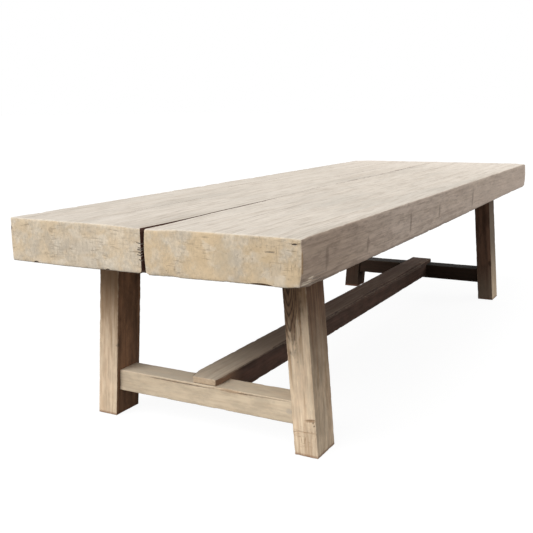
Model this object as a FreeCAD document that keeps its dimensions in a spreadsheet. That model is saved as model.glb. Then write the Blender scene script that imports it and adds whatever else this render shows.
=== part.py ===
import FreeCAD, Part
import os

import Sketcher

# Refectory table of heavy old timber: two thick slabs, side by side with an open joint between
# them, on two splayed end frames that a long low stretcher ties together.
# Millimetres. +X runs along the table, +Y across it and +Z up. The origin is on the floor under
# the middle of the top. "left" is the -X end, "front" is the -Y long side.

SIZES = {
    # The top as a whole
    "top_length": 3075,
    "top_width": 1090,
    "table_height": 772,
    "slab_thickness": 144,
    # How far a plank reaches past the table's middle before its joint face is trimmed
    "plank_allowance": 60,
    # Wear on the slabs: the long sides swell at mid height and no arris is sharp
    "side_crown": 3,
    "slab_arris": 6,
    "joint_arris": 4,
    "slab_end_arris": 4,
    "front_slab_wane": 18,
    "back_slab_wane": 9,
    # The open joint wanders: the poles of its curve across the table, and how wide it gapes there
    "joint_left": -3,
    "joint_left_third": -46,
    "joint_left_middle": 32,
    "joint_right_middle": -26,
    "joint_right_third": 22,
    "joint_right": 3,
    "gap_left": 18,
    "gap_left_third": 8,
    "gap_left_middle": 0.6,
    "gap_right_middle": 1,
    "gap_right_third": 5,
    "gap_right": 1.5,
    # Legs: upright along the table, leaning inwards across it. The two end frames are hand made,
    # so the left one has deeper legs and the right one stands a little wider
    "leg_breadth": 86,
    "left_leg_depth": 134,
    "right_leg_depth": 120,
    "leg_splay": 48,
    "left_foot_spread": 912,
    "right_foot_spread": 934,
    "leg_arris": 5,
    "foot_bevel": 3,
    "left_frame_inset": 350,
    "right_frame_inset": 335,
    # Low cross rails, and the bearers under the slabs
    "rail_width": 100,
    "rail_depth": 80,
    "rail_height": 97,
    "rail_arris": 4,
    "bearer_width": 92,
    "bearer_depth": 76,
    "bearer_arris": 4,
    # Their tenons in the legs
    "tenon_thickness": 34,
    "tenon_length": 56,
    "tenon_shoulder": 13,
    "bearer_haunch": 24,
    "tenon_clearance": 0.2,
    # Long stretcher, lapped over the rails with a tongue at each end
    "stretcher_width": 116,
    "stretcher_depth": 88,
    "stretcher_offset": -4,
    "tongue_thickness": 23,
    "tongue_setback": 5,
    "stretcher_wane_left": 6,
    "stretcher_wane_right": 27,
    "stretcher_arris": 4,
    # Oak pegs through the tenons, driven from the right in both frames
    "peg_diameter": 16,
    "peg_proud": 2,
    "peg_bite": 16,
    "peg_point": 5,
    "peg_point_diameter": 11,
    "peg_clearance": 0.1,
    # Coach screws up through the bearers into the slabs
    "screw_diameter": 10,
    "screw_head_across": 17,
    "screw_head_height": 7,
    "screw_length": 112,
    "screw_point": 10,
    "screw_point_diameter": 3,
    "screw_inner_place": 95,
    "screw_outer_place": 245,
    "screw_clearance": 0.2,
    "washer_diameter": 30,
    "washer_thickness": 3,
    "counterbore_diameter": 36,
    "counterbore_depth": 20,
    # Screws up through the rails into the stretcher's tongues
    "lap_screw_diameter": 6,
    "lap_head_diameter": 12,
    "lap_head_height": 4,
    "lap_screw_length": 84,
    "lap_screw_point": 6,
    "lap_screw_point_diameter": 2,
    "lap_screw_spacing": 64,
    "lap_counterbore_diameter": 15,
    "lap_counterbore_depth": 12,
    # How far a cutting shape runs past the wood that it cuts
    "cut_overrun": 6,
}

# Places of the joint's poles along the top, as shares of its length from the middle
JOINT_POLE_SHARES = {
    "left": -0.5,
    "left_third": -0.32,
    "left_middle": -0.08,
    "right_middle": 0.09,
    "right_third": 0.33,
    "right": 0.5,
}

# How closely an edge has to lie on a plane to be counted as part of it
SAME_PLANE = 0.001

# Which way each end and each side of the table lies from its middle
ENDS = {"left": -1, "right": 1}
SIDES = {"front": -1, "back": 1}

document = FreeCAD.newDocument("RefectoryTable")
sheet = document.addObject("Spreadsheet::Sheet", "Sizes")
for row, (alias, size) in enumerate(SIZES.items(), start=1):
    sheet.set(f"A{row}", alias)
    sheet.set(f"B{row}", str(size))
    sheet.setAlias(f"B{row}", alias)
document.recompute()

pieces = []

# Heights and places that several pieces share, as expressions on the sheet

UNDERSIDE = "(Sizes.table_height - Sizes.slab_thickness)"
RAIL_BOTTOM = "Sizes.rail_height"
RAIL_TOP = "(Sizes.rail_height + Sizes.rail_depth)"
BEARER_BOTTOM = f"({UNDERSIDE} - Sizes.bearer_depth)"
STRETCHER_TOP = f"({RAIL_TOP} + Sizes.tongue_thickness)"
STRETCHER_BOTTOM = f"({STRETCHER_TOP} - Sizes.stretcher_depth)"
FRAME_PLACES = {
    "left": "(Sizes.left_frame_inset - Sizes.top_length / 2)",
    "right": "(Sizes.top_length / 2 - Sizes.right_frame_inset)",
}
TENON_HEIGHTS = {
    "rail": (f"({RAIL_BOTTOM} + Sizes.tenon_shoulder)", f"({RAIL_TOP} - Sizes.tenon_shoulder)"),
    "bearer": (f"({BEARER_BOTTOM} + Sizes.tenon_shoulder)", f"({UNDERSIDE} - Sizes.bearer_haunch)"),
}
WASHER_SEAT = f"({BEARER_BOTTOM} + Sizes.counterbore_depth)"
SCREW_HEAD_SEAT = f"({WASHER_SEAT} - Sizes.washer_thickness)"
SCREW_TIP = f"({SCREW_HEAD_SEAT} + Sizes.screw_length)"
SCREW_PLACES = [
    "-Sizes.screw_outer_place",
    "-Sizes.screw_inner_place",
    "Sizes.screw_inner_place",
    "Sizes.screw_outer_place",
]
SCREW_HOLE = "Sizes.screw_diameter + 2 * Sizes.screw_clearance"
LAP_HEAD_SEAT = f"({RAIL_BOTTOM} + Sizes.lap_counterbore_depth)"
LAP_SCREW_TIP = f"({LAP_HEAD_SEAT} + Sizes.lap_screw_length)"
LAP_SCREW_PLACES = [
    "(Sizes.stretcher_offset - Sizes.lap_screw_spacing / 2)",
    "(Sizes.stretcher_offset + Sizes.lap_screw_spacing / 2)",
]
LAP_SCREW_HOLE = "Sizes.lap_screw_diameter + 2 * Sizes.screw_clearance"
PEG_HOLE = "Sizes.peg_diameter + 2 * Sizes.peg_clearance"
PEG_TIP = "(Sizes.tenon_thickness / 2 + Sizes.peg_bite)"


def value(expression):
    return float(sheet.evalExpression(expression))


def leg_inner_face(end, height):
    """How far a leg's inner face is from the table's middle plane at a height."""
    foot = f"Sizes.{end}_foot_spread / 2 - Sizes.leg_breadth"
    return f"({foot} - Sizes.leg_splay * {height} / {UNDERSIDE})"


def tenon_middle(kind):
    low, high = TENON_HEIGHTS[kind]
    return f"(({low} + {high}) / 2)"


def tenon_end(end, kind):
    return f"({leg_inner_face(end, tenon_middle(kind))} + Sizes.tenon_length)"


def peg_place(end, kind):
    return f"({tenon_end(end, kind)} - Sizes.tenon_length / 2)"


def peg_head(end):
    return f"(Sizes.{end}_leg_depth / 2 + Sizes.peg_proud)"


# Steps that every timber uses

def new_body(label):
    body = document.addObject("PartDesign::Body", label)
    body.Label = label
    pieces.append(body)
    return body


def new_sketch(body, name, plane, offset):
    """Sketch on one of the body's own planes, moved along that plane's normal."""
    planes = {feature.Role: feature for feature in body.Origin.OriginFeatures}
    sketch = body.newObject("Sketcher::SketchObject", name)
    sketch.AttachmentSupport = [(planes[plane], "")]
    sketch.MapMode = "FlatFace"
    sketch.setExpression("AttachmentOffset.Base.z", offset)
    return sketch


def bind(sketch, constraint, expression):
    index = sketch.addConstraint(constraint)
    sketch.setExpression(f"Constraints[{index}]", expression)


def pin(sketch, geometry, point, place):
    """Ties a point of the sketch to a pair of expressions, across and up."""
    for direction, expression in zip(("DistanceX", "DistanceY"), place):
        constraint = Sketcher.Constraint(direction, -1, 1, geometry, point, value(expression))
        bind(sketch, constraint, expression)


def draw_outline(sketch, corners):
    """Closed outline of straight sides. Each corner is a pair of expressions."""
    points = [FreeCAD.Vector(value(across), value(up), 0) for across, up in corners]
    for start, end in zip(points, points[1:] + points[:1]):
        sketch.addGeometry(Part.LineSegment(start, end))
    for index, corner in enumerate(corners):
        after = (index + 1) % len(corners)
        sketch.addConstraint(Sketcher.Constraint("Coincident", index, 2, after, 1))
        pin(sketch, index, 1, corner)


def draw_joint_waste(sketch, poles, corners):
    """The waste beyond a slab's joint: one smooth curve on named poles, closed by straight sides."""
    curve_poles = [FreeCAD.Vector(value(along), value(across), 0) for along, across in poles]
    curve = sketch.addGeometry(Part.BSplineCurve(curve_poles, None, None, False, 3, None, False))
    sketch.exposeInternalGeometry(curve)
    for index, pole in enumerate(poles, start=curve + 1):
        pin(sketch, index, 3, pole)
    places = [poles[-1]] + corners + [poles[0]]
    points = [FreeCAD.Vector(value(along), value(across), 0) for along, across in places]
    before = curve
    for start, end, place in zip(points, points[1:], places):
        side = sketch.addGeometry(Part.LineSegment(start, end))
        sketch.addConstraint(Sketcher.Constraint("Coincident", before, 2, side, 1))
        if before != curve:
            pin(sketch, side, 1, place)
        before = side
    sketch.addConstraint(Sketcher.Constraint("Coincident", before, 2, curve, 1))


def draw_circles(sketch, places, diameter):
    for place in places:
        centre = FreeCAD.Vector(value(place[0]), value(place[1]), 0)
        circle = Part.Circle(centre, FreeCAD.Vector(0, 0, 1), value(diameter) / 2)
        geometry = sketch.addGeometry(circle)
        pin(sketch, geometry, 3, place)
        bind(sketch, Sketcher.Constraint("Diameter", geometry, value(diameter)), diameter)


def between(body, kind, name, plane, low, high):
    """Pad or Pocket from one place to another along the plane's normal. Returns its sketch."""
    sketch = new_sketch(body, f"{name}_sketch", plane, f"({low} + {high}) / 2")
    feature = body.newObject(f"PartDesign::{kind}", name)
    feature.Profile = sketch
    feature.SideType = "Symmetric"
    feature.setExpression("Length", f"{high} - ({low})")
    return sketch


def dress(body, kind, name, size, chosen):
    """Fillet or Chamfer on the edges of the body so far that the test chooses."""
    document.recompute()
    base = body.Tip
    edges = enumerate(base.Shape.Edges, start=1)
    names = [f"Edge{index}" for index, edge in edges if chosen(edge)]
    feature = body.newObject(f"PartDesign::{kind}", name)
    feature.Base = (base, names)
    feature.setExpression("Radius" if kind == "Fillet" else "Size", size)


def lies_on(edge, axis, expression):
    """True if the whole edge lies on the plane where that coordinate has that value."""
    place = value(expression)
    box = edge.BoundBox
    spans = {"x": (box.XMin, box.XMax), "y": (box.YMin, box.YMax), "z": (box.ZMin, box.ZMax)}
    return all(abs(reach - place) < SAME_PLANE for reach in spans[axis])


def runs_along(edge, axis):
    """True if the edge runs mainly in the direction of that axis."""
    box = edge.BoundBox
    lengths = {"x": box.XLength, "y": box.YLength, "z": box.ZLength}
    return lengths[axis] == max(lengths.values())


# Slabs: a crowned profile the length of the top, trimmed along the wandering joint

def draw_slab_profile(sketch, side):
    """Flat top and underside, a straight inner side and a gently swollen outer side."""
    outer = f"{side} * (Sizes.top_width / 2 - Sizes.side_crown)"
    inner = f"{-side} * Sizes.plank_allowance"
    corners = [(outer, UNDERSIDE), (inner, UNDERSIDE), (inner, "Sizes.table_height"),
               (outer, "Sizes.table_height")]
    # An arc runs anticlockwise, so the back slab's outline is walked the other way round
    corners = corners if side < 0 else corners[::-1]
    points = [FreeCAD.Vector(value(across), value(up), 0) for across, up in corners]
    swell = FreeCAD.Vector(side * value("Sizes.side_crown"), 0, 0)
    middle = (points[-1] + points[0]) * 0.5 + swell
    for start, end in zip(points, points[1:]):
        sketch.addGeometry(Part.LineSegment(start, end))
    sketch.addGeometry(Part.Arc(points[-1], middle, points[0]))
    for index, corner in enumerate(corners):
        after = (index + 1) % len(corners)
        sketch.addConstraint(Sketcher.Constraint("Coincident", index, 2, after, 1))
        pin(sketch, index, 1, corner)
    half = "Sizes.slab_thickness / 2"
    radius = f"(({half}) * ({half}) / Sizes.side_crown + Sizes.side_crown) / 2"
    bind(sketch, Sketcher.Constraint("Radius", len(corners) - 1, value(radius)), radius)


def make_slab(name, side):
    body = new_body(f"{name}_slab")
    half_length = "Sizes.top_length / 2"
    plank = between(body, "Pad", f"{name}_plank", "YZ_Plane", f"-{half_length}", half_length)
    draw_slab_profile(plank, side)

    # Everything beyond this slab's edge of the joint is cut away, seen from above
    poles = [(f"{share} * (Sizes.top_length + 2 * Sizes.cut_overrun)",
              f"Sizes.joint_{station} + {side} * Sizes.gap_{station} / 2")
             for station, share in JOINT_POLE_SHARES.items()]
    past_joint = f"{-side} * (Sizes.plank_allowance + Sizes.cut_overrun)"
    corners = [(poles[-1][0], past_joint), (poles[0][0], past_joint)]
    low = f"({UNDERSIDE} - Sizes.cut_overrun)"
    high = "(Sizes.table_height + Sizes.cut_overrun)"
    waste = between(body, "Pocket", f"{name}_joint_face", "XY_Plane", low, high)
    draw_joint_waste(waste, poles, corners)

    outer = f"{side} * (Sizes.top_width / 2 - Sizes.side_crown)"

    def on_end(candidate):
        return lies_on(candidate, "x", half_length) or lies_on(candidate, "x", f"-{half_length}")

    def on_joint(candidate):
        return runs_along(candidate, "x") and not lies_on(candidate, "y", outer)

    dress(body, "Chamfer", f"{name}_wane", f"Sizes.{name}_slab_wane",
          lambda candidate: on_joint(candidate) and lies_on(candidate, "z", UNDERSIDE))
    dress(body, "Fillet", f"{name}_outer_arrises", "Sizes.slab_arris",
          lambda candidate: runs_along(candidate, "x") and lies_on(candidate, "y", outer))
    dress(body, "Fillet", f"{name}_joint_arris", "Sizes.joint_arris",
          lambda candidate: on_joint(candidate) and lies_on(candidate, "z", "Sizes.table_height")
          and abs(candidate.CenterOfMass.y) < value("Sizes.plank_allowance"))
    dress(body, "Fillet", f"{name}_end_arrises", "Sizes.slab_end_arris", on_end)

    # Pilot holes for the coach screws that come up through the bearers
    places = [(FRAME_PLACES[end], place) for end in ENDS for place in SCREW_PLACES
              if value(place) * side > 0]
    tip = f"({SCREW_TIP} + Sizes.screw_clearance)"
    holes = between(body, "Pocket", f"{name}_pilot_holes", "XY_Plane", low, tip)
    draw_circles(holes, places, SCREW_HOLE)


for side_name, side_sign in SIDES.items():
    make_slab(side_name, side_sign)


# Legs: level at the foot and the top, leaning inwards, mortised for a rail and a bearer

def make_leg(end, side_name):
    side = SIDES[side_name]
    name = f"{side_name}_{end}_leg"
    body = new_body(name)
    body.setExpression("Placement.Base.x", FRAME_PLACES[end])

    foot = leg_inner_face(end, "0")
    top = leg_inner_face(end, UNDERSIDE)
    outline = [
        (f"{side} * {foot}", "0"),
        (f"{side} * ({foot} + Sizes.leg_breadth)", "0"),
        (f"{side} * ({top} + Sizes.leg_breadth)", UNDERSIDE),
        (f"{side} * {top}", UNDERSIDE),
    ]
    half = f"Sizes.{end}_leg_depth / 2"
    draw_outline(between(body, "Pad", f"{name}_post", "YZ_Plane", f"-{half}", half), outline)
    dress(body, "Chamfer", f"{name}_arrises", "Sizes.leg_arris", lambda edge: runs_along(edge, "z"))
    dress(body, "Chamfer", f"{name}_foot_bevel", "Sizes.foot_bevel", lambda edge: lies_on(edge, "z", "0"))

    half_slot = "(Sizes.tenon_thickness / 2 + Sizes.tenon_clearance)"
    for kind in TENON_HEIGHTS:
        low, high = TENON_HEIGHTS[kind]
        low = f"({low} - Sizes.tenon_clearance)"
        high = f"({high} + Sizes.tenon_clearance)"
        bottom = f"{side} * ({tenon_end(end, kind)} + Sizes.tenon_clearance)"
        mouth_low = f"{side} * ({leg_inner_face(end, low)} - Sizes.cut_overrun)"
        mouth_high = f"{side} * ({leg_inner_face(end, high)} - Sizes.cut_overrun)"
        mortise = between(body, "Pocket", f"{name}_{kind}_mortise", "YZ_Plane", f"-{half_slot}", half_slot)
        draw_outline(mortise, [(mouth_low, low), (bottom, low), (bottom, high), (mouth_high, high)])

        # The peg hole comes in from the right and stops in the mortise's left cheek
        blind = f"-({PEG_TIP} + Sizes.peg_clearance)"
        mouth = f"({half} + Sizes.cut_overrun)"
        hole = between(body, "Pocket", f"{name}_{kind}_peg_hole", "YZ_Plane", blind, mouth)
        draw_circles(hole, [(f"{side} * {peg_place(end, kind)}", tenon_middle(kind))], PEG_HOLE)


for end_name in ENDS:
    for side_name in SIDES:
        make_leg(end_name, side_name)


# Rails and bearers: shoulders cut to the legs' lean, with a tenon at each end

def make_cross_timber(end, kind, bottom, top):
    name = f"{end}_{kind}"
    body = new_body(name)
    body.setExpression("Placement.Base.x", FRAME_PLACES[end])

    half = f"Sizes.{kind}_width / 2"
    outline = [
        (f"-{leg_inner_face(end, bottom)}", bottom),
        (leg_inner_face(end, bottom), bottom),
        (leg_inner_face(end, top), top),
        (f"-{leg_inner_face(end, top)}", top),
    ]
    draw_outline(between(body, "Pad", f"{name}_timber", "YZ_Plane", f"-{half}", half), outline)
    dress(body, "Fillet", f"{name}_arrises", f"Sizes.{kind}_arris", lambda edge: runs_along(edge, "y"))

    low, high = TENON_HEIGHTS[kind]
    reach = tenon_end(end, kind)
    half_tenon = "Sizes.tenon_thickness / 2"
    tenons = between(body, "Pad", f"{name}_tenons", "YZ_Plane", f"-{half_tenon}", half_tenon)
    draw_outline(tenons, [(f"-{reach}", low), (reach, low), (reach, high), (f"-{reach}", high)])

    past = f"({half_tenon} + Sizes.cut_overrun)"
    holes = between(body, "Pocket", f"{name}_peg_holes", "YZ_Plane", f"-{past}", past)
    places = [(f"{side} * {peg_place(end, kind)}", tenon_middle(kind)) for side in SIDES.values()]
    draw_circles(holes, places, PEG_HOLE)
    return body


def bore_from_below(body, places, bottom, seat, top, hole, counterbore):
    """Holes right through a cross timber, each with a wider counterbore for the screw's head."""
    centres = [("0", place) for place in places]
    low = f"({bottom} - Sizes.cut_overrun)"
    high = f"({top} + Sizes.cut_overrun)"
    draw_circles(between(body, "Pocket", f"{body.Label}_holes", "XY_Plane", low, high), centres, hole)
    draw_circles(between(body, "Pocket", f"{body.Label}_counterbores", "XY_Plane", low, seat),
                 centres, counterbore)


for end_name in ENDS:
    rail = make_cross_timber(end_name, "rail", RAIL_BOTTOM, RAIL_TOP)
    bore_from_below(rail, LAP_SCREW_PLACES, RAIL_BOTTOM, LAP_HEAD_SEAT, RAIL_TOP,
                    LAP_SCREW_HOLE, "Sizes.lap_counterbore_diameter")
    bearer = make_cross_timber(end_name, "bearer", BEARER_BOTTOM, UNDERSIDE)
    bore_from_below(bearer, SCREW_PLACES, BEARER_BOTTOM, WASHER_SEAT, UNDERSIDE,
                    SCREW_HOLE, "Sizes.counterbore_diameter")


# Stretcher: shouldered between the rails, with a tongue lapped over each of them

def make_stretcher():
    body = new_body("stretcher")
    body.setExpression("Placement.Base.y", "Sizes.stretcher_offset")
    shoulders = {end: f"({FRAME_PLACES[end]} - {sign} * Sizes.rail_width / 2)"
                 for end, sign in ENDS.items()}
    tips = {end: f"({FRAME_PLACES[end]} + {sign} * (Sizes.rail_width / 2 - Sizes.tongue_setback))"
            for end, sign in ENDS.items()}
    outline = [
        (shoulders["left"], STRETCHER_BOTTOM),
        (shoulders["right"], STRETCHER_BOTTOM),
        (shoulders["right"], RAIL_TOP),
        (tips["right"], RAIL_TOP),
        (tips["right"], STRETCHER_TOP),
        (tips["left"], STRETCHER_TOP),
        (tips["left"], RAIL_TOP),
        (shoulders["left"], RAIL_TOP),
    ]
    half = "Sizes.stretcher_width / 2"
    draw_outline(between(body, "Pad", "stretcher_beam", "XZ_Plane", f"-{half}", half), outline)
    dress(body, "Fillet", "stretcher_arrises", "Sizes.stretcher_arris",
          lambda edge: runs_along(edge, "x") and not (lies_on(edge, "y", f"-{half}")
                                                      and lies_on(edge, "z", STRETCHER_TOP))
          and not lies_on(edge, "z", RAIL_TOP))

    # The front upper arris is the tree's own edge: a wane that widens towards the right end
    sections = []
    for end, sign in ENDS.items():
        wane = f"Sizes.stretcher_wane_{end}"
        past_tip = f"{tips[end]} + {sign} * Sizes.cut_overrun"
        sketch = new_sketch(body, f"stretcher_wane_{end}", "YZ_Plane", past_tip)
        front = f"-{half} - Sizes.cut_overrun"
        high = f"{STRETCHER_TOP} + Sizes.cut_overrun"
        draw_outline(sketch, [
            (front, f"{STRETCHER_TOP} - {wane} - Sizes.cut_overrun"),
            (f"-{half} + {wane} + Sizes.cut_overrun", high),
            (front, high),
        ])
        sections.append(sketch)
    wane_cut = body.newObject("PartDesign::SubtractiveLoft", "stretcher_wane")
    wane_cut.Profile = sections[0]
    wane_cut.Sections = sections[1:]
    wane_cut.Ruled = True

    holes = between(body, "Pocket", "stretcher_pilot_holes", "XY_Plane",
                    f"({RAIL_TOP} - Sizes.cut_overrun)", f"({LAP_SCREW_TIP} + Sizes.screw_clearance)")
    places = [(FRAME_PLACES[end], f"{place} - Sizes.stretcher_offset")
              for end in ENDS for place in LAP_SCREW_PLACES]
    draw_circles(holes, places, LAP_SCREW_HOLE)


make_stretcher()


# Fastenings: each node is a group of separate, identical solids

def primitive(kind, name, sizes, place, turn=None):
    """Part primitive whose sizes and place are expressions. turn lays its own Z axis elsewhere."""
    shape = document.addObject(f"Part::{kind}", name)
    for size_name, expression in sizes.items():
        shape.setExpression(size_name, expression)
    if turn:
        shape.Placement = FreeCAD.Placement(FreeCAD.Vector(), turn)
    for axis, expression in zip("xyz", place):
        shape.setExpression(f"Placement.Base.{axis}", expression)
    return shape


def fuse(name, shapes):
    fused = document.addObject("Part::MultiFuse", name)
    fused.Shapes = shapes
    return fused


def group(label, solids):
    compound = document.addObject("Part::Compound", label)
    compound.Label = label
    compound.Links = solids
    pieces.append(compound)


def pointed_rod(name, kind, length, place, turn=None):
    """Round shank with a conical point, as separate primitives. place is the shank's start."""
    radius = f"Sizes.{kind}_diameter / 2"
    shank_length = f"({length} - Sizes.{kind}_point)"
    shank = primitive("Cylinder", f"{name}_shank", {"Radius": radius, "Height": shank_length}, place, turn)
    direction = turn.multVec(FreeCAD.Vector(0, 0, 1)) if turn else FreeCAD.Vector(0, 0, 1)
    start = [f"{begin} + {round(step)} * {shank_length}" for begin, step in zip(place, direction)]
    taper = {
        "Radius1": radius,
        "Radius2": f"Sizes.{kind}_point_diameter / 2",
        "Height": f"Sizes.{kind}_point",
    }
    return [shank, primitive("Cone", f"{name}_point", taper, start, turn)]


def make_pegs(end, kind):
    """One peg through each tenon, its head a little proud of the leg's right face."""
    label = f"{end}_{kind}_pegs"
    turn = FreeCAD.Rotation(FreeCAD.Vector(0, 0, 1), FreeCAD.Vector(-1, 0, 0))
    head = f"({FRAME_PLACES[end]} + {peg_head(end)})"
    pegs = []
    for side_name, side in SIDES.items():
        place = (head, f"{side} * {peg_place(end, kind)}", tenon_middle(kind))
        name = f"{label}_{side_name}"
        pegs.append(fuse(name, pointed_rod(name, "peg", f"{peg_head(end)} + {PEG_TIP}", place, turn)))
    group(label, pegs)


def make_bearer_screws(end):
    """Hexagon-headed coach screws up into the slabs."""
    screws = []
    for index, across in enumerate(SCREW_PLACES, start=1):
        name = f"{end}_bearer_screw_{index}"
        head_sizes = {
            "Circumradius": "Sizes.screw_head_across / 2 / cos(30)",
            "Height": "Sizes.screw_head_height",
        }
        head_bottom = f"{SCREW_HEAD_SEAT} - Sizes.screw_head_height"
        head = primitive("Prism", f"{name}_head", head_sizes, (FRAME_PLACES[end], across, head_bottom))
        head.Polygon = 6
        seat = (FRAME_PLACES[end], across, SCREW_HEAD_SEAT)
        screws.append(fuse(name, [head] + pointed_rod(name, "screw", "Sizes.screw_length", seat)))
    group(f"{end}_bearer_screws", screws)


def make_bearer_washers(end):
    """A washer between each coach screw's head and the floor of its counterbore."""
    washers = []
    for index, across in enumerate(SCREW_PLACES, start=1):
        name = f"{end}_bearer_washer_{index}"
        disc_sizes = {"Radius": "Sizes.washer_diameter / 2", "Height": "Sizes.washer_thickness"}
        hole_sizes = {
            "Radius": f"({SCREW_HOLE}) / 2",
            "Height": "Sizes.washer_thickness + 2 * Sizes.cut_overrun",
        }
        below = f"{SCREW_HEAD_SEAT} - Sizes.cut_overrun"
        washer = document.addObject("Part::Cut", name)
        washer.Base = primitive("Cylinder", f"{name}_disc", disc_sizes,
                                (FRAME_PLACES[end], across, SCREW_HEAD_SEAT))
        washer.Tool = primitive("Cylinder", f"{name}_hole", hole_sizes, (FRAME_PLACES[end], across, below))
        washers.append(washer)
    group(f"{end}_bearer_washers", washers)


def make_lap_screws(end):
    """Flat-headed screws that pull the stretcher's tongue down on the rail."""
    screws = []
    for index, across in enumerate(LAP_SCREW_PLACES, start=1):
        name = f"{end}_lap_screw_{index}"
        head_sizes = {"Radius": "Sizes.lap_head_diameter / 2", "Height": "Sizes.lap_head_height"}
        head_bottom = f"{LAP_HEAD_SEAT} - Sizes.lap_head_height"
        head = primitive("Cylinder", f"{name}_head", head_sizes, (FRAME_PLACES[end], across, head_bottom))
        seat = (FRAME_PLACES[end], across, LAP_HEAD_SEAT)
        screws.append(fuse(name, [head] + pointed_rod(name, "lap_screw", "Sizes.lap_screw_length", seat)))
    group(f"{end}_lap_screws", screws)


for end_name in ENDS:
    for timber in TENON_HEIGHTS:
        make_pegs(end_name, timber)
    make_bearer_screws(end_name)
    make_bearer_washers(end_name)
    make_lap_screws(end_name)


# Check every feature, then write each piece to its own file

document.recompute()
faults = [item.Label for item in document.Objects if {"Invalid", "Error"} & set(item.State)]
faults += [piece.Label for piece in pieces if piece.Shape.isNull() or not piece.Shape.isValid()]
if faults:
    raise RuntimeError("Features that failed: " + ", ".join(faults))

os.makedirs("parts", exist_ok=True)
for piece in pieces:
    piece.Shape.exportStep(f"parts/{piece.Label}.step")
    box = piece.Shape.BoundBox
    litres = piece.Shape.Volume / 1e6
    print(f"{piece.Label}: {len(piece.Shape.Solids)} solids, {litres:.3f} l, "
          f"x {box.XMin:.1f} to {box.XMax:.1f}, y {box.YMin:.1f} to {box.YMax:.1f}, "
          f"z {box.ZMin:.1f} to {box.ZMax:.1f}")
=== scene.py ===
# %% [markdown]
# # A refectory table of old timber
# Two thick bleached slabs lie side by side on splayed end frames, and one long stretcher ties the frames
# low down. Every timber is reclaimed, so no face is quite flat, no arris is whole, and the colour runs from
# bleached cream on top to dark brown underneath. The lesson builds each timber from a plain cube, wears it,
# splits it, and then grows wood grain through it.

# %% [markdown]
# ## The frame
# The imported solids are the frame that everything is fitted to. They come first, and they are kept, so that
# the box round each can be read from them.

# %% Load the frame
import math
from types import SimpleNamespace

import bpy
import numpy as np
from mathutils import Matrix, Vector


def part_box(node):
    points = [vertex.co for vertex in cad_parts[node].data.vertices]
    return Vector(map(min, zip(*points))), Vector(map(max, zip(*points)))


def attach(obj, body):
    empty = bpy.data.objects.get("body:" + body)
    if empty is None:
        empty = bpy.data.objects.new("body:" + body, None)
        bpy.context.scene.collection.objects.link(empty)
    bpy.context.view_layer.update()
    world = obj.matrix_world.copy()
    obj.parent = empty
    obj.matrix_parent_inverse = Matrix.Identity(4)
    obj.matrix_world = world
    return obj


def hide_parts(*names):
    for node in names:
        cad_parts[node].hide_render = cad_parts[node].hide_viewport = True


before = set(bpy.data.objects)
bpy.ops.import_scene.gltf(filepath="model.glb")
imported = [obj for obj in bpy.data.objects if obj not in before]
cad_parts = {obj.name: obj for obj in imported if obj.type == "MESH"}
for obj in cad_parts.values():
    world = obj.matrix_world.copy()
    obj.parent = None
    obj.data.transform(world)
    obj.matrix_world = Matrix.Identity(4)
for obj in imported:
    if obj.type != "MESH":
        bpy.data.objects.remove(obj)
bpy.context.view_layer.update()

# %% [markdown]
# ## The camera
# The photograph was taken from beyond the near left end, at about a standing person's elbow. The table's
# straight edges give the camera's place, its turn and its focal length, which the lens formula makes
# millimetres on a 36 mm sensor. Three plain turns, one after the other, aim it: the way it faces, the tilt
# down to the table and the slight lean of a camera held by hand.

# %% Stand the camera where the photographer stood
PHOTO_WIDTH_PIXELS = 533
FOCAL_LENGTH_PIXELS = 784.155
SENSOR_WIDTH_MM = 36.0
CAMERA_PLACE = Vector((-3.4019, -1.4492, 1.1121))
CAMERA_HEADING = math.radians(28.6914)
CAMERA_TILT = math.radians(-11.326)
CAMERA_LEAN = math.radians(-0.7282)
QUARTER_TURN = math.radians(90)

bpy.ops.object.camera_add()
camera = bpy.context.object
camera.name = "photo_camera"
camera.data.sensor_width = SENSOR_WIDTH_MM
camera.data.lens = SENSOR_WIDTH_MM * FOCAL_LENGTH_PIXELS / PHOTO_WIDTH_PIXELS
facing = Matrix.Rotation(CAMERA_HEADING - QUARTER_TURN, 4, "Z")
tilted = Matrix.Rotation(CAMERA_TILT + QUARTER_TURN, 4, "X")
leaning = Matrix.Rotation(CAMERA_LEAN, 4, "Z")
camera.matrix_world = Matrix.Translation(CAMERA_PLACE) @ facing @ tilted @ leaning
bpy.context.scene.camera = camera
print("camera:", round(camera.data.lens, 2), "mm lens")

# %% [markdown]
# ## Floor and light
# The photograph has a white ground and soft light from above and from the near left, so the ends and the top
# are bright and the long side is in shade. A sun as wide as a cloudy patch of sky gives that soft direction
# evenly along the whole table, a grey sky fills the shade, and a weak lamp lifts the far part of the shaded
# side. The floor looks white to the camera, but it throws little light back up, or else the underside of the
# table would be far too bright.

# %% Lay the floor
FLOOR_SIZE = 400.0
FLOOR_GLOW = 0.93
FLOOR_WHITE = (0.12, 0.12, 0.12, 1)
FLOOR_BOUNCE = (0.22, 0.215, 0.21, 1)


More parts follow.
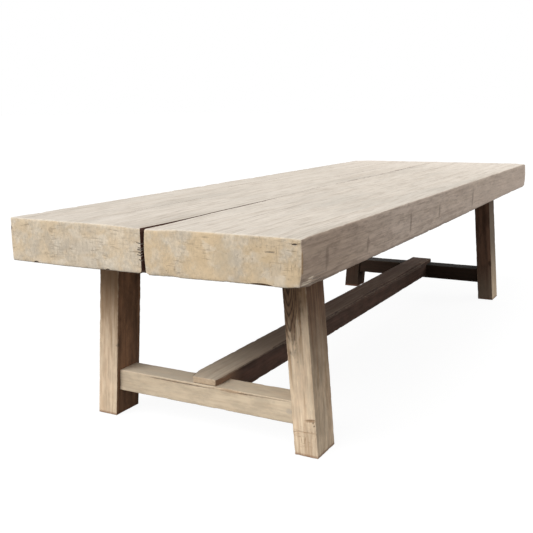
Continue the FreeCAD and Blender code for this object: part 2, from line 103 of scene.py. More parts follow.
def floor_material():
    """White for the camera, and a grey that throws little light back for everything else."""
    material = bpy.data.materials.new("pale_floor")
    material.use_nodes = True
    tree = material.node_tree
    tree.nodes.clear()
    path = tree.nodes.new("ShaderNodeLightPath")
    shown = tree.nodes.new("ShaderNodeBsdfDiffuse")
    shown.inputs["Color"].default_value = FLOOR_WHITE
    glow = tree.nodes.new("ShaderNodeEmission")
    glow.inputs["Strength"].default_value = FLOOR_GLOW
    lit = tree.nodes.new("ShaderNodeAddShader")
    bounced = tree.nodes.new("ShaderNodeBsdfDiffuse")
    bounced.inputs["Color"].default_value = FLOOR_BOUNCE
    chosen = tree.nodes.new("ShaderNodeMixShader")
    output = tree.nodes.new("ShaderNodeOutputMaterial")
    tree.links.new(shown.outputs[0], lit.inputs[0])
    tree.links.new(glow.outputs[0], lit.inputs[1])
    tree.links.new(path.outputs["Is Camera Ray"], chosen.inputs[0])
    tree.links.new(bounced.outputs[0], chosen.inputs[1])
    tree.links.new(lit.outputs[0], chosen.inputs[2])
    tree.links.new(chosen.outputs[0], output.inputs["Surface"])
    return material


bpy.context.scene.view_settings.view_transform = "Standard"
bpy.ops.mesh.primitive_plane_add(size=FLOOR_SIZE)
floor = bpy.context.object
floor.name = "floor"
floor.data.materials.append(floor_material())
print("floor:", FLOOR_SIZE, "m wide")

# %% Hang the sun and the fill lamp
SUN_FROM = Vector((-0.66, 0.30, 0.69))
SUN_STRENGTH = 2.50
SUN_WIDTH = math.radians(48)
FILL_PLACE = Vector((4.6, -4.2, 2.2))
FILL_AIM = Vector((1.2, -0.5, 0.5))
FILL_SIZE = 3.0
FILL_WATTS = 70

bpy.ops.object.light_add(type="SUN")
sun = bpy.context.object
sun.name = "soft_sun"
sun.data.energy = SUN_STRENGTH
sun.data.angle = SUN_WIDTH
sun.rotation_euler = (-SUN_FROM).to_track_quat("-Z", "Y").to_euler()

bpy.ops.object.light_add(type="AREA", location=FILL_PLACE)
fill_lamp = bpy.context.object
fill_lamp.name = "fill_lamp"
fill_lamp.data.shape = "DISK"
fill_lamp.data.size = FILL_SIZE
fill_lamp.data.energy = FILL_WATTS
fill_lamp.visible_camera = False
fill_lamp.rotation_euler = (FILL_AIM - FILL_PLACE).to_track_quat("-Z", "Y").to_euler()
print("light: sun", SUN_STRENGTH, "and fill lamp", FILL_WATTS, "W")

# %% Spread the sky
SKY_STRENGTH = 0.50
BLACK = (0, 0, 0, 1)
WHITE = (1, 1, 1, 1)


def studio_sky():
    """An even grey sky for the light, and plain white behind the table for the camera."""
    world = bpy.data.worlds.new("studio")
    world.use_nodes = True
    tree = world.node_tree
    tree.nodes.clear()
    path = tree.nodes.new("ShaderNodeLightPath")
    fill = tree.nodes.new("ShaderNodeBackground")
    fill.inputs["Strength"].default_value = SKY_STRENGTH
    shown = tree.nodes.new("ShaderNodeBackground")
    chosen = tree.nodes.new("ShaderNodeMixShader")
    output = tree.nodes.new("ShaderNodeOutputWorld")
    for background in (fill, shown):
        background.inputs["Color"].default_value = WHITE
    tree.links.new(path.outputs["Is Camera Ray"], chosen.inputs[0])
    tree.links.new(fill.outputs[0], chosen.inputs[1])
    tree.links.new(shown.outputs[0], chosen.inputs[2])
    tree.links.new(chosen.outputs[0], output.inputs["Surface"])
    return world


bpy.context.scene.world = studio_sky()
print("sky:", SKY_STRENGTH)

# %% [markdown]
# ## Squared timber
# Each timber starts as one cube, stretched between two corners. A Bevel modifier rounds its arrises, some
# less than others, by a weight on each edge. Then every run along the three directions is cut to a fine even
# grid, because wear needs points to move. A grid made by subdividing only the edges that run one way keeps
# its squares square, which a plain subdivide of a long beam would not.

# %% Block and rounded arrises
WEIGHT_NAME = "bevel_weight_edge"
ARRIS_SEGMENTS = 3


def activate(piece):
    """Makes one piece the only selected and active object."""
    bpy.ops.object.select_all(action="DESELECT")
    piece.select_set(True)
    bpy.context.view_layer.objects.active = piece


def lay_block(name, low, high):
    """One cube, stretched between two corners, with its place in its mesh."""
    bpy.ops.object.select_all(action="DESELECT")
    bpy.ops.mesh.primitive_cube_add(size=1, location=(low + high) / 2, scale=high - low)
    piece = bpy.context.object
    piece.name = name
    piece.data.name = name
    bpy.ops.object.transform_apply(location=True, rotation=True, scale=True)
    return piece


def round_arrises(piece, width, weight_at=None):
    """Rounds every edge to a width, times the weight that weight_at gives for the edge's middle."""
    activate(piece)
    mesh = piece.data
    weights = mesh.attributes.new(WEIGHT_NAME, "FLOAT", "EDGE")
    for edge in mesh.edges:
        middle = (mesh.vertices[edge.vertices[0]].co + mesh.vertices[edge.vertices[1]].co) / 2
        weights.data[edge.index].value = weight_at(middle) if weight_at else 1.0
    bevel = piece.modifiers.new("arrises", "BEVEL")
    bevel.limit_method = "WEIGHT"
    bevel.width = width
    bevel.segments = ARRIS_SEGMENTS
    bpy.ops.object.modifier_apply(modifier=bevel.name)
    mesh.attributes.remove(mesh.attributes[WEIGHT_NAME])


print("arrises: rounded in", ARRIS_SEGMENTS, "segments")

# %% A fine even grid
MOST_CUTS = 19
STRAIGHT_SHARE = 0.99
LONG_SHARE = 1.6


def select_runs(piece, axis, step):
    """Selects the edges that run along one axis and are still too long, and returns the longest."""
    bpy.ops.object.mode_set(mode="EDIT")
    bpy.ops.mesh.select_mode(type="EDGE")
    bpy.ops.mesh.select_all(action="DESELECT")
    bpy.ops.object.mode_set(mode="OBJECT")
    longest = 0.0
    points = piece.data.vertices
    for edge in piece.data.edges:
        run = points[edge.vertices[1]].co - points[edge.vertices[0]].co
        if abs(run[axis]) > STRAIGHT_SHARE * run.length and run.length > LONG_SHARE * step:
            edge.select = True
            longest = max(longest, run.length)
    return longest


def cut_to_grid(piece, step):
    """Cuts the block's runs to about one step, first lengthwise, then across, then in height."""
    activate(piece)
    for axis in range(3):
        longest = select_runs(piece, axis, step)
        while longest:
            cuts = min(MOST_CUTS, max(1, round(longest / step) - 1))
            bpy.ops.object.mode_set(mode="EDIT")
            bpy.ops.mesh.subdivide(number_cuts=cuts)
            bpy.ops.object.mode_set(mode="OBJECT")
            longest = select_runs(piece, axis, step)


print("grid: up to", MOST_CUTS, "cuts at a time")

# %% [markdown]
# ## Points moved in code
# Some shapes have no operator: a leg that leans while both its ends stay level, a corner planed off at a
# slant, an end that has swollen a little. For those the points are read as one table of numbers, moved by a
# short formula and written back. While a block is still straight, each point also notes how near an arris it
# lies. That number later steers the chips and the colour.

# %% Read, write, plane off and push
def read_points(piece):
    """All the piece's points as rows of x, y and z."""
    flat = np.empty(len(piece.data.vertices) * 3)
    piece.data.vertices.foreach_get("co", flat)
    return flat.reshape(-1, 3)


def write_points(piece, points):
    """Puts moved points back in the piece."""
    piece.data.vertices.foreach_set("co", points.ravel())
    piece.data.update()


def weigh_points(piece, name, weights):
    """Keeps one number for each point, both for modifiers and for the finish."""
    attribute = piece.data.attributes.new(name, "FLOAT", "POINT")
    attribute.data.foreach_set("value", weights)
    group = piece.vertex_groups.new(name=name)
    for index in np.flatnonzero(weights):
        group.add([int(index)], float(weights[index]), "REPLACE")


def arris_nearness(piece, reach):
    """For each point, 1 on an arris of the straight block and 0 at that reach from it."""
    points = read_points(piece)
    from_faces = np.minimum(points - points.min(0), points.max(0) - points)
    from_arris = np.sort(from_faces, axis=1)[:, 1]
    return np.clip(1 - from_arris / reach, 0, 1)


def plane_off(piece, place, facing, runs_out=None):
    """Flattens whatever stands beyond a plane on to it, as a plane or a drawknife would.

    With runs_out, two places along X, the cut fades away between them."""
    points = read_points(piece)
    normal = np.array(Vector(facing).normalized())
    beyond = np.maximum((points - np.array(place)) @ normal, 0)
    if runs_out:
        beyond *= np.interp(points[:, 0], runs_out, (1, 0))
    write_points(piece, points - beyond[:, None] * normal)


def push(piece, place, shift, reach):
    """Pushes the surface softly by a shift at a place, fading to nothing at a reach along each axis."""
    points = read_points(piece)
    near = np.clip(1 - np.abs(points - np.array(place)) / np.array(reach), 0, 1)
    weight = np.prod(near * near * (3 - 2 * near), axis=1)
    write_points(piece, points + weight[:, None] * np.array(shift))


print("points: ready to be planed off and pushed")

# %% [markdown]
# ## Wear
# Old timber is uneven in three ways. It undulates gently all over, its soft grain has been scrubbed into
# shallow furrows along its length, and its arrises are chipped. Each is a Displace modifier that only ever
# takes wood away. The furrows read their texture through a stretched empty, which draws the noise out along
# the grain. The chips read a texture that has been pushed to black and white, so they are separate bites.

# %% Hollows, furrows and chips
HOLLOW_SIZE = 0.24
FURROW_SIZE = 0.024
CHIP_SIZE = 0.050
CHIP_CLIP = (0.56, 0.74)
NIBBLE_SIZE = 0.014
NIBBLE_CLIP = (0.50, 0.78)
NIBBLES_SHALLOWER = 3


def clouds(name, size, depth, clip=None):
    """A noise texture of a given size, and with clip, one whose values between two marks spread out."""
    texture = bpy.data.textures.new(name, "CLOUDS")
    texture.noise_scale = size
    texture.noise_depth = depth
    if clip:
        texture.use_color_ramp = True
        texture.color_ramp.elements[0].position = clip[0]
        texture.color_ramp.elements[0].color = BLACK
        texture.color_ramp.elements[1].position = clip[1]
        texture.color_ramp.elements[1].color = WHITE
    return texture


def take_away(piece, texture, depth, group, through=None):
    """Sinks the surface by up to a depth, where the texture is bright and the group has weight."""
    activate(piece)
    modifier = piece.modifiers.new("wear", "DISPLACE")
    modifier.texture = texture
    modifier.strength = -depth
    modifier.mid_level = 0.0
    modifier.vertex_group = group
    modifier.texture_coords = "OBJECT" if through else "GLOBAL"
    if through:
        modifier.texture_coords_object = through
    bpy.ops.object.modifier_apply(modifier=modifier.name)


def wear(piece, stretch, hollow, furrow, chip):
    """Wears a timber: broad hollows, furrows along its grain, and chips off its arrises."""
    bpy.ops.object.empty_add()
    guide = bpy.context.object
    guide.scale = stretch
    bpy.context.view_layer.update()
    nibble = chip / NIBBLES_SHALLOWER
    take_away(piece, clouds("broad_hollows", HOLLOW_SIZE, 1), hollow, "open")
    take_away(piece, clouds("grain_furrows", FURROW_SIZE, 2), furrow, "open", through=guide)
    take_away(piece, clouds("arris_chips", CHIP_SIZE, 3, CHIP_CLIP), chip, "arris")
    take_away(piece, clouds("arris_nibbles", NIBBLE_SIZE, 2, NIBBLE_CLIP), nibble, "arris")
    bpy.data.objects.remove(guide)


print("wear: chips of about", CHIP_SIZE, "m")

# %% [markdown]
# ## Splits
# Drying opens checks along the grain, and long use leaves nail holes and torn spots. A check is widest and
# deepest at its middle and runs out to nothing, which is just what a very slim stretched sphere cuts. The
# slim spheres of one timber are joined, made to wander a little by a Displace modifier, and taken out of the
# timber with one Boolean, so the dark line is a real opening.

# %% Spindles
SPINDLE_SIDES = 8
SPINDLE_RINGS = 20


def spindle(middle, along, out, length, width, depth):
    """A slim stretched sphere that lies along a check and reaches a depth below the surface."""
    along = Vector(along).normalized()
    out = Vector(out).normalized()
    across = out.cross(along)
    bpy.ops.object.select_all(action="DESELECT")
    bpy.ops.mesh.primitive_uv_sphere_add(segments=SPINDLE_SIDES, ring_count=SPINDLE_RINGS, radius=1)
    cutter = bpy.context.object
    turn = Matrix((across * width / 2, out * depth, along * length / 2)).transposed()
    cutter.matrix_world = Matrix.Translation(Vector(middle)) @ turn.to_4x4()
    bpy.ops.object.transform_apply(location=True, rotation=True, scale=True)
    return cutter


print("spindle:", SPINDLE_SIDES, "sides and", SPINDLE_RINGS, "rings")

# %% Carving
WANDER_SIZE = 0.06


def join_cutters(cutters):
    """Joins the cutters of one timber into one, with every face outwards."""
    bpy.ops.object.select_all(action="DESELECT")
    for cutter in cutters:
        cutter.select_set(True)
    bpy.context.view_layer.objects.active = cutters[0]
    bpy.ops.object.join()
    joined = bpy.context.object
    bpy.ops.object.mode_set(mode="EDIT")
    bpy.ops.mesh.select_all(action="SELECT")
    bpy.ops.mesh.normals_make_consistent(inside=False)
    bpy.ops.object.mode_set(mode="OBJECT")
    return joined


def let_wander(joined, sideways):
    """Shakes the joined cutters sideways, so that no check is straight."""
    for axis, strength in sideways.items():
        shake = joined.modifiers.new("wander", "DISPLACE")
        shake.texture = clouds("check_wander_" + axis, WANDER_SIZE, 2)
        shake.texture_coords = "GLOBAL"
        shake.direction = axis
        shake.strength = strength
        bpy.ops.object.modifier_apply(modifier=shake.name)


def carve(piece, cutters, **sideways):
    """Takes the cutters out of the timber, after shaking them along the axes that are given."""
    joined = join_cutters(cutters)
    let_wander(joined, sideways)
    activate(piece)
    cut = piece.modifiers.new("checks", "BOOLEAN")
    cut.operation = "DIFFERENCE"
    cut.solver = "MANIFOLD"
    cut.object = joined
    bpy.ops.object.modifier_apply(modifier=cut.name)
    bpy.data.objects.remove(joined)


print("carving: checks wander over", WANDER_SIZE, "m")

# %% Keep a finished timber
SMOOTH_UNDER = math.radians(38)
timbers = {}


def keep(node, piece):
    """Smooths a shaped timber and keeps it until every timber is made."""
    activate(piece)
    bpy.ops.object.shade_smooth_by_angle(angle=SMOOTH_UNDER)
    piece.data.materials.clear()
    timbers[node] = piece
    print(piece.name, len(piece.data.polygons), "faces")


print("smooth under:", round(math.degrees(SMOOTH_UNDER)), "degrees")

# %% [markdown]
# ## The two slabs
# Each slab is a straight block until its two long edges are fitted to the solid: a line across the table is
# shot at the solid from both sides, and the block's width is stretched between the two hits, so the wandering
# joint and the swelling outer face come from the frame. Before that, the waney lower edge along the joint is
# planed off, because it follows the edge wherever it goes. The joint faces stay unworn, or else the slabs
# would not close up where they nearly touch.

# %% Find the solids' edges
FAR_OUTSIDE = 2.0
END_CLEAR = 0.015
EDGE_CLEAR = 0.030
X = Vector((1, 0, 0))
Y = Vector((0, 1, 0))
Z = Vector((0, 0, 1))


def side_of(node, x, z, towards, start=None):
    """Where a line across the table meets a solid, going towards -Y or +Y."""
    origin = Vector((x, -FAR_OUTSIDE * towards if start is None else start, z))
    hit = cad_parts[node].ray_cast(origin, Y * towards)
    return hit[1].y


def fit_edges(piece, node):
    """Stretches a straight block between the solid's own two long edges."""
    low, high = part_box(node)
    points = read_points(piece)
    shares = (points[:, 1] - low.y) / (high.y - low.y)
    found = {}
    for index, (x, _, z) in enumerate(points):
        x = min(max(x, low.x + END_CLEAR), high.x - END_CLEAR)
        z = min(max(z, low.z + EDGE_CLEAR), high.z - EDGE_CLEAR)
        key = (round(x, 4), round(z, 4))
        if key not in found:
            found[key] = (side_of(node, x, z, 1), side_of(node, x, z, -1))
        first, last = found[key]
        points[index, 1] = first + shares[index] * (last - first)
    write_points(piece, points)


low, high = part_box("back_slab")
middle_z = (low.z + high.z) / 2
for x in (low.x + END_CLEAR, 0, high.x - END_CLEAR):
    gap = side_of("back_slab", x, middle_z, 1) - side_of("front_slab", x, middle_z, -1)
    print("joint at x", round(x, 2), "is", round(gap, 4), "m wide")

# %% Fit a slab to its solid
SLAB_STEP = 0.0082
SLAB_ARRIS = 0.0060
SLAB_REACH = 0.020
JOINT_ARRIS_SHARE = 0.12
JOINT_COVER = 0.045
JOINT_CHIP_SHARE = 0.3
SAME_PLACE = 1e-5
SLAB_SIDES = {"front_slab": -1, "back_slab": 1}
LOWER_WANE = {"front_slab": 0.011, "back_slab": 0.009}


def make_slab(node, side):
    """A slab, fitted and worn, with its joint face left whole."""
    low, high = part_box(node)
    joint_y = high.y if side < 0 else low.y

    def arris_share(middle):
        """Less at the joint than elsewhere."""
        return JOINT_ARRIS_SHARE if abs(middle.y - joint_y) < SAME_PLACE else 1.0

    slab = lay_block(node + "_timber", low, high)
    round_arrises(slab, SLAB_ARRIS, arris_share)
    cut_to_grid(slab, SLAB_STEP)
    from_joint = np.abs(read_points(slab)[:, 1] - joint_y)
    weathered = np.clip(from_joint / JOINT_COVER, 0, 1)
    chipped = JOINT_CHIP_SHARE + (1 - JOINT_CHIP_SHARE) * weathered
    weigh_points(slab, "open", weathered)
    weigh_points(slab, "arris", arris_nearness(slab, SLAB_REACH) * chipped)
    plane_off(slab, (0, joint_y + side * LOWER_WANE[node], low.z), (0, -side, -1))
    fit_edges(slab, node)
    wear(slab, (9, 1, 1), hollow=0.0012, furrow=0.0007, chip=0.0025)
    return slab


print("slabs: fitted in steps of", SLAB_STEP, "m")

# %% [markdown]
# ## Marks on the slabs
# Each near end has marks of its own: a nail slot, small checks, splinters by the joint and notches in the
# lower arris. The long front side has upright saw marks, spaced along it, and fine checks run along the top.
# Each is a spindle, laid where the photograph shows the mark.

# %% Lay out the marks
near_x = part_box("front_slab")[0].x
far_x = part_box("front_slab")[1].x
top_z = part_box("front_slab")[1].z
under_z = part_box("front_slab")[0].z
# Saw marks on the front side: x and z of the middle, and half the height
SAW_MARKS = (
    (-1.373, 0.690, 0.045),
    (-1.051, 0.680, 0.032),
    (-0.620, 0.700, 0.050),
    (-0.256, 0.695, 0.040),
    (0.278, 0.700, 0.055),
)
# Splinters on the back slab's near end: z and length
SPLINTERS = (
    (0.719, 0.034),
    (0.705, 0.018),
    (0.699, 0.028),
    (0.690, 0.020),
    (0.682, 0.030),
    (0.668, 0.016),
)
# Checks in the top: x and y of the middle, length and width
TOP_CHECKS = {
    "front_slab": (
        (-0.95, -0.20, 0.70, 0.0022),
        (0.35, -0.36, 0.90, 0.0020),
        (-0.30, -0.44, 0.50, 0.0016),
        (1.05, -0.15, 0.60, 0.0020),
    ),
    "back_slab": (
        (-1.05, 0.26, 0.55, 0.0020),
        (-0.10, 0.40, 0.80, 0.0018),
        (0.60, 0.16, 0.70, 0.0022),
        (1.10, 0.33, 0.45, 0.0018),
    ),
}
print("laid out:", len(SAW_MARKS), "saw marks and", len(SPLINTERS), "splinters")

# %% Spindles for the marks
CHECK_DEPTH = 0.012
SAW_SLOPE = 0.10
SAW_WIDTH = 0.0060
SAW_DEPTH = 0.0018
SPLINTER_SLOPE = 0.25
SPLINTER_WIDTH = 0.0045
SPLINTER_DEPTH = 0.016


def top_checks(node):
    """Fine checks along the top."""
    rows = TOP_CHECKS[node]
    return [spindle((x, y, top_z), X, Z, length, width, CHECK_DEPTH) for x, y, length, width in rows]


def front_slab_marks():
    """The nail slot, check, notch and torn corner of the front slab's near end, and its saw marks."""
    cutters = [
        spindle((near_x, -0.5147, 0.7531), Y, -X, 0.017, 0.0060, 0.014),
        spindle((near_x, -0.4410, 0.7275), Y - 0.05 * Z, -X, 0.030, 0.0030, 0.012),
        spindle((near_x, -0.4110, under_z), Y, -X, 0.085, 0.0180, 0.030),
        spindle((near_x + 0.09, -0.5380, under_z + 0.010), X, -Y, 0.140, 0.0030, 0.008),
        spindle((near_x + 0.08, -0.5380, under_z + 0.019), X - 0.05 * Z, -Y, 0.100, 0.0022, 0.006),
        spindle((near_x + 0.11, -0.5390, under_z + 0.028), X, -Y, 0.120, 0.0018, 0.005),
    ]
    for x, z, half_height in SAW_MARKS:
        y = side_of("front_slab", x, z, 1)
        upright = Z + SAW_SLOPE * X
        cutters.append(spindle((x, y, z), upright, -Y, 2 * half_height, SAW_WIDTH, SAW_DEPTH))
    return cutters


def back_slab_marks():
    """Splinters by the joint, and the nicks in the back slab's near arrises."""
    edge = side_of("back_slab", near_x + END_CLEAR, (top_z + under_z) / 2, 1)
    cutters = [
        spindle((near_x, 0.5400, 0.7360), Z, -X, 0.012, 0.0080, 0.010),
        spindle((near_x, 0.4356, under_z), Y, -X, 0.020, 0.0090, 0.012),
        spindle((near_x, 0.1365, under_z), Y, -X, 0.016, 0.0080, 0.012),
    ]
    for z, length in SPLINTERS:
        rising = Y + SPLINTER_SLOPE * Z
        cutters.append(spindle((near_x, edge, z), rising, -X, length, SPLINTER_WIDTH, SPLINTER_DEPTH))
    return cutters


print("checks in the top:", {node: len(rows) for node, rows in TOP_CHECKS.items()})

# %% [markdown]
# ## Swollen, sunk and knocked
# The near ends are a little thicker than the rest and dip towards the joint. Behind them the slabs lean
# together and narrow it, and at its very end the front one bulges into it. The front slab's outer side is
# drawn in, its lower arris is worn towards the far end, and the outer corners are knocked round. One soft
# push of the surface makes each of these, and a table holds them all.

# %% Make the slabs
CHECK_WANDER = 0.006
CORNER_REACH = (0.06, 0.06, 0.05)
# Soft pushes: place, shift, and reach along each axis
SLAB_PUSHES = {
    "front_slab": (
        ((near_x, -0.03, under_z), (0, 0, -0.005), (0.28, 0.36, 0.13)),
        ((near_x, -0.54, top_z - 0.06), (0, 0.006, 0), (3.0, 0.40, 0.40)),
        ((near_x, 0.0, top_z), (0, 0, -0.007), (0.50, 0.16, 0.13)),
        ((-0.62, 0.0, top_z), (0, 0.0018, 0), (0.28, 0.10, 0.20)),
        ((-1.24, 0.0, top_z), (0, 0.0038, 0), (0.26, 0.10, 0.20)),
        ((near_x, 0.0, 0.70), (0, 0.0055, 0), (0.22, 0.07, 0.09)),
        ((1.15, -0.545, under_z), (0, 0, 0.008), (1.60, 0.05, 0.06)),
        ((near_x, -0.540, top_z), (0.003, 0.002, -0.002), CORNER_REACH),
        ((near_x, -0.540, under_z), (0.003, 0.008, 0.004), CORNER_REACH),
        ((far_x, -0.540, top_z), (-0.004, 0.002, -0.005), CORNER_REACH),
        ((far_x, -0.540, under_z), (-0.004, 0.002, 0.004), CORNER_REACH),
    ),
    "back_slab": (
        ((near_x, 0.30, under_z), (0, 0, -0.005), (0.28, 0.55, 0.13)),
        ((near_x, 0.0, top_z), (0, 0, -0.005), (0.50, 0.16, 0.13)),
        ((-0.62, 0.0, top_z), (0, -0.0018, 0), (0.28, 0.10, 0.20)),
        ((-1.24, 0.0, top_z), (0, -0.0026, 0), (0.26, 0.10, 0.20)),
        ((far_x, 0.545, top_z), (-0.004, -0.004, -0.005), CORNER_REACH),
        ((far_x, 0.545, under_z), (-0.004, -0.004, 0.004), CORNER_REACH),
    ),
}
SLAB_MARKS = {"front_slab": front_slab_marks, "back_slab": back_slab_marks}

for node, side in SLAB_SIDES.items():
    slab = make_slab(node, side)
    for place, shift, reach in SLAB_PUSHES[node]:
        push(slab, place, shift, reach)
    carve(slab, top_checks(node) + SLAB_MARKS[node](), Y=CHECK_WANDER)
    keep(node, slab)

# %% [markdown]
# ## The legs
# A leg leans: its foot stands further out than its top. The block is laid over the foot, and its points are
# slid sideways by their height, so both ends stay level. Where the faces are is read from the solid.

# %% Read each leg's lines
LOW_LOOK = 0.04
HIGH_LOOK = 0.54
# Which end of the table each leg stands at, and which side
LEG_SIDES = {
    "front_left_leg": (-1, -1),
    "back_left_leg": (-1, 1),
    "front_right_leg": (1, -1),
    "back_right_leg": (1, 1),
}


def leg_lines(node, side):
    """The outer face's y at the floor, the leg's breadth, and its lean for each metre of height."""
    low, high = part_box(node)
    x = (low.x + high.x) / 2
    outer_low = side_of(node, x, LOW_LOOK, -side)
    outer_high = side_of(node, x, HIGH_LOOK, -side)
    inner_low = side_of(node, x, LOW_LOOK, side)
    lean = (outer_high - outer_low) / (HIGH_LOOK - LOW_LOOK)
    return outer_low - lean * LOW_LOOK, abs(outer_low - inner_low), lean


for node, (_, side) in LEG_SIDES.items():
    foot_y, breadth, lean = leg_lines(node, side)
    print(node, "is", round(breadth, 3), "m broad and leans by", round(lean, 3))

# %% A leaning leg
LEG_STEP = 0.0045
LEG_ARRIS = 0.0035
LEG_REACH = 0.014
# Depths that all the beams share
BEAM_WEAR = {"hollow": 0.0008, "furrow": 0.0006, "chip": 0.0016}


def worn_beam(piece, arris, step, reach):
    """Rounds a block, cuts it to a grid and weighs its points for wear all over."""
    round_arrises(piece, arris)
    cut_to_grid(piece, step)
    weigh_points(piece, "open", np.ones(len(piece.data.vertices)))
    weigh_points(piece, "arris", arris_nearness(piece, reach))


def make_leg(node, side):
    """A leaning leg."""
    low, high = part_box(node)
    foot_y, breadth, lean = leg_lines(node, side)
    first_y, last_y = sorted((foot_y, foot_y - side * breadth))
    block_low = Vector((low.x, first_y, low.z))
    block_high = Vector((high.x, last_y, high.z))
    leg = lay_block(node + "_timber", block_low, block_high)
    worn_beam(leg, LEG_ARRIS, LEG_STEP, LEG_REACH)
    points = read_points(leg)
    points[:, 1] += (points[:, 2] - low.z) * lean
    write_points(leg, points)
    wear(leg, (1, 1, 8), **BEAM_WEAR)
    return leg


print("legs: cut in steps of", LEG_STEP, "m")

# %% Make the legs
LEG_CHECK_HEIGHT = 0.34
LEG_CHECK_ASIDE = 0.012
LEG_CHECK_LENGTH = 0.30
LEG_CHECK_WIDTH = 0.0016
LEG_WANDER = 0.003
DASH_SLOPE = 0.06
DASH_LENGTH = 0.015
DASH_WIDTH = 0.0030
DASH_DEPTH = 0.003
# The dashed line low on the near right leg: y and z of each dash
LEG_DASHES = (
    (-0.386, 0.0815),
    (-0.404, 0.0830),
    (-0.424, 0.0845),
    (-0.442, 0.0865),
)


def leg_check(node, side):
    """One fine upright check in a leg's right face."""
    high_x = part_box(node)[1].x
    foot_y, breadth, lean = leg_lines(node, side)
    middle_y = foot_y - side * breadth / 2
    middle = (high_x, middle_y + lean * LEG_CHECK_HEIGHT + LEG_CHECK_ASIDE, LEG_CHECK_HEIGHT)
    return spindle(middle, Z + lean * Y, X, LEG_CHECK_LENGTH, LEG_CHECK_WIDTH, CHECK_DEPTH)


def near_leg_marks():
    """The torn spots low on the near right leg: a tear, two holes by the arris and a dashed line."""
    face_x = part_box("front_left_leg")[0].x
    cutters = [
        spindle((face_x, -0.4265, 0.1275), Y - 0.18 * Z, -X, 0.044, 0.0055, 0.005),
        spindle((face_x, -0.4372, 0.1215), Z, -X, 0.008, 0.0060, 0.007),
        spindle((face_x, -0.4407, 0.1114), Z, -X, 0.007, 0.0055, 0.007),
    ]
    for y, z in LEG_DASHES:
        level = Y - DASH_SLOPE * Z
        cutters.append(spindle((face_x, y, z), level, -X, DASH_LENGTH, DASH_WIDTH, DASH_DEPTH))
    return cutters


for node, (_, side) in LEG_SIDES.items():
    leg = make_leg(node, side)
    cutters = [leg_check(node, side)]
    if node == "front_left_leg":
        cutters += near_leg_marks()
    carve(leg, cutters, X=LEG_WANDER, Y=LEG_WANDER)
    keep(node, leg)

# %% [markdown]
# ## The rails
# The low rails run between the legs, and their shoulders follow the legs' lean. They reach a little into the
# legs, so that no light shows past a worn shoulder. The near rail has split along its front upper arris, and
# a splinter has come away under the stretcher's tongue.

# %% A rail between two legs
RAIL_STEP = 0.005
RAIL_ARRIS = 0.0035
SHOULDER_SINK = 0.003
RAIL_LEGS = {
    "left_rail": ("front_left_leg", "back_left_leg"),
    "right_rail": ("front_right_leg", "back_right_leg"),
}


def make_rail(node):
    """A rail between two leaning legs."""
    front_leg, back_leg = RAIL_LEGS[node]
    low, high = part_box(node)
    x = (low.x + high.x) / 2
    front_y = side_of(front_leg, x, low.z, -1, start=0)
    back_y = side_of(back_leg, x, low.z, 1, start=0)
    lean = (side_of(back_leg, x, high.z, 1, start=0) - back_y) / (high.z - low.z)
    block_low = Vector((low.x, front_y - SHOULDER_SINK, low.z))
    block_high = Vector((high.x, back_y + SHOULDER_SINK, high.z))
    rail = lay_block(node + "_timber", block_low, block_high)
    worn_beam(rail, RAIL_ARRIS, RAIL_STEP, LEG_REACH)
    points = read_points(rail)
    points[:, 1] *= 1 + lean * (points[:, 2] - low.z) / back_y
    write_points(rail, points)
    wear(rail, (1, 8, 1), **BEAM_WEAR)
    return rail


print("rails: sunk", SHOULDER_SINK, "m into the legs")

# %% Make the rails
BORE_RADIUS = 0.0075
BORE_DEEPER = 0.004
BORE_SIDES = 24
SPLIT_DEPTH = 0.008
SPLIT_WANDER = 0.003
# The near rail's long split: y and z of each stretch, length and width
RAIL_SPLITS = (
    (0.16, 0.1690, 0.15, 0.0030),
    (0.04, 0.1680, 0.16, 0.0042),
    (-0.20, 0.1700, 0.12, 0.0034),
    (-0.29, 0.1715, 0.10, 0.0026),
)


def lap_screw_bores(node):
    """The counterbores under a rail, one round each screw's head."""
    screws = np.array([point.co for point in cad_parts[node].data.vertices])
    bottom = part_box(node.replace("lap_screws", "rail"))[0].z
    cutters = []
    for side in (-1, 1):
        own = screws[screws[:, 1] * side > 0]
        x, y = (own.min(0) + own.max(0))[:2] / 2
        head_top = own[:, 2].min() + BORE_DEEPER
        bpy.ops.object.select_all(action="DESELECT")
        bpy.ops.mesh.primitive_cylinder_add(vertices=BORE_SIDES, radius=BORE_RADIUS,
                                            depth=2 * (head_top - bottom), location=(x, y, bottom))
        bpy.ops.object.transform_apply(location=True, rotation=True, scale=True)
        cutters.append(bpy.context.object)
    return cutters


def near_rail_splits():
    """The long split under the near rail's front upper arris, and the splinter that has come away."""
    low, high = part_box("left_rail")
    cutters = []
    for y, z, length, width in RAIL_SPLITS:
        cutters.append(spindle((low.x, y, z), Y, -X, length, width, SPLIT_DEPTH))
    cutters.append(spindle((low.x, -0.105, high.z - 0.002), Y, -X + Z, 0.115, 0.012, 0.006))
    cutters.append(spindle((low.x, 0.1548, 0.1059), Y, -X, 0.030, 0.0050, 0.004))
    return cutters


for node in RAIL_LEGS:
    rail = make_rail(node)
    carve(rail, lap_screw_bores(node.replace("rail", "lap_screws")))
    if node == "left_rail":
        carve(rail, near_rail_splits(), Z=SPLIT_WANDER)
    keep(node, rail)

# %% [markdown]
# ## The stretcher
# One long beam stands between the rails, and at each end a tongue, the beam's upper part, runs on over the
# rail. So the block is cut level at the rails' height, and the upper end faces are pulled out. Its front
# upper arris was the outside of the tree: the missing corner grows from the near end on, and runs out before
# the far tongue. A slanting plane takes it off. Two more, almost upright, taper the near tongue to its tip,
# and one soft push lifts the back arris a little.

# %% Pull out the stretcher's tongues
STRETCHER_ARRIS = 0.0035
ARRIS_PROFILE = 0.6
SHARP_OVER = math.radians(30)


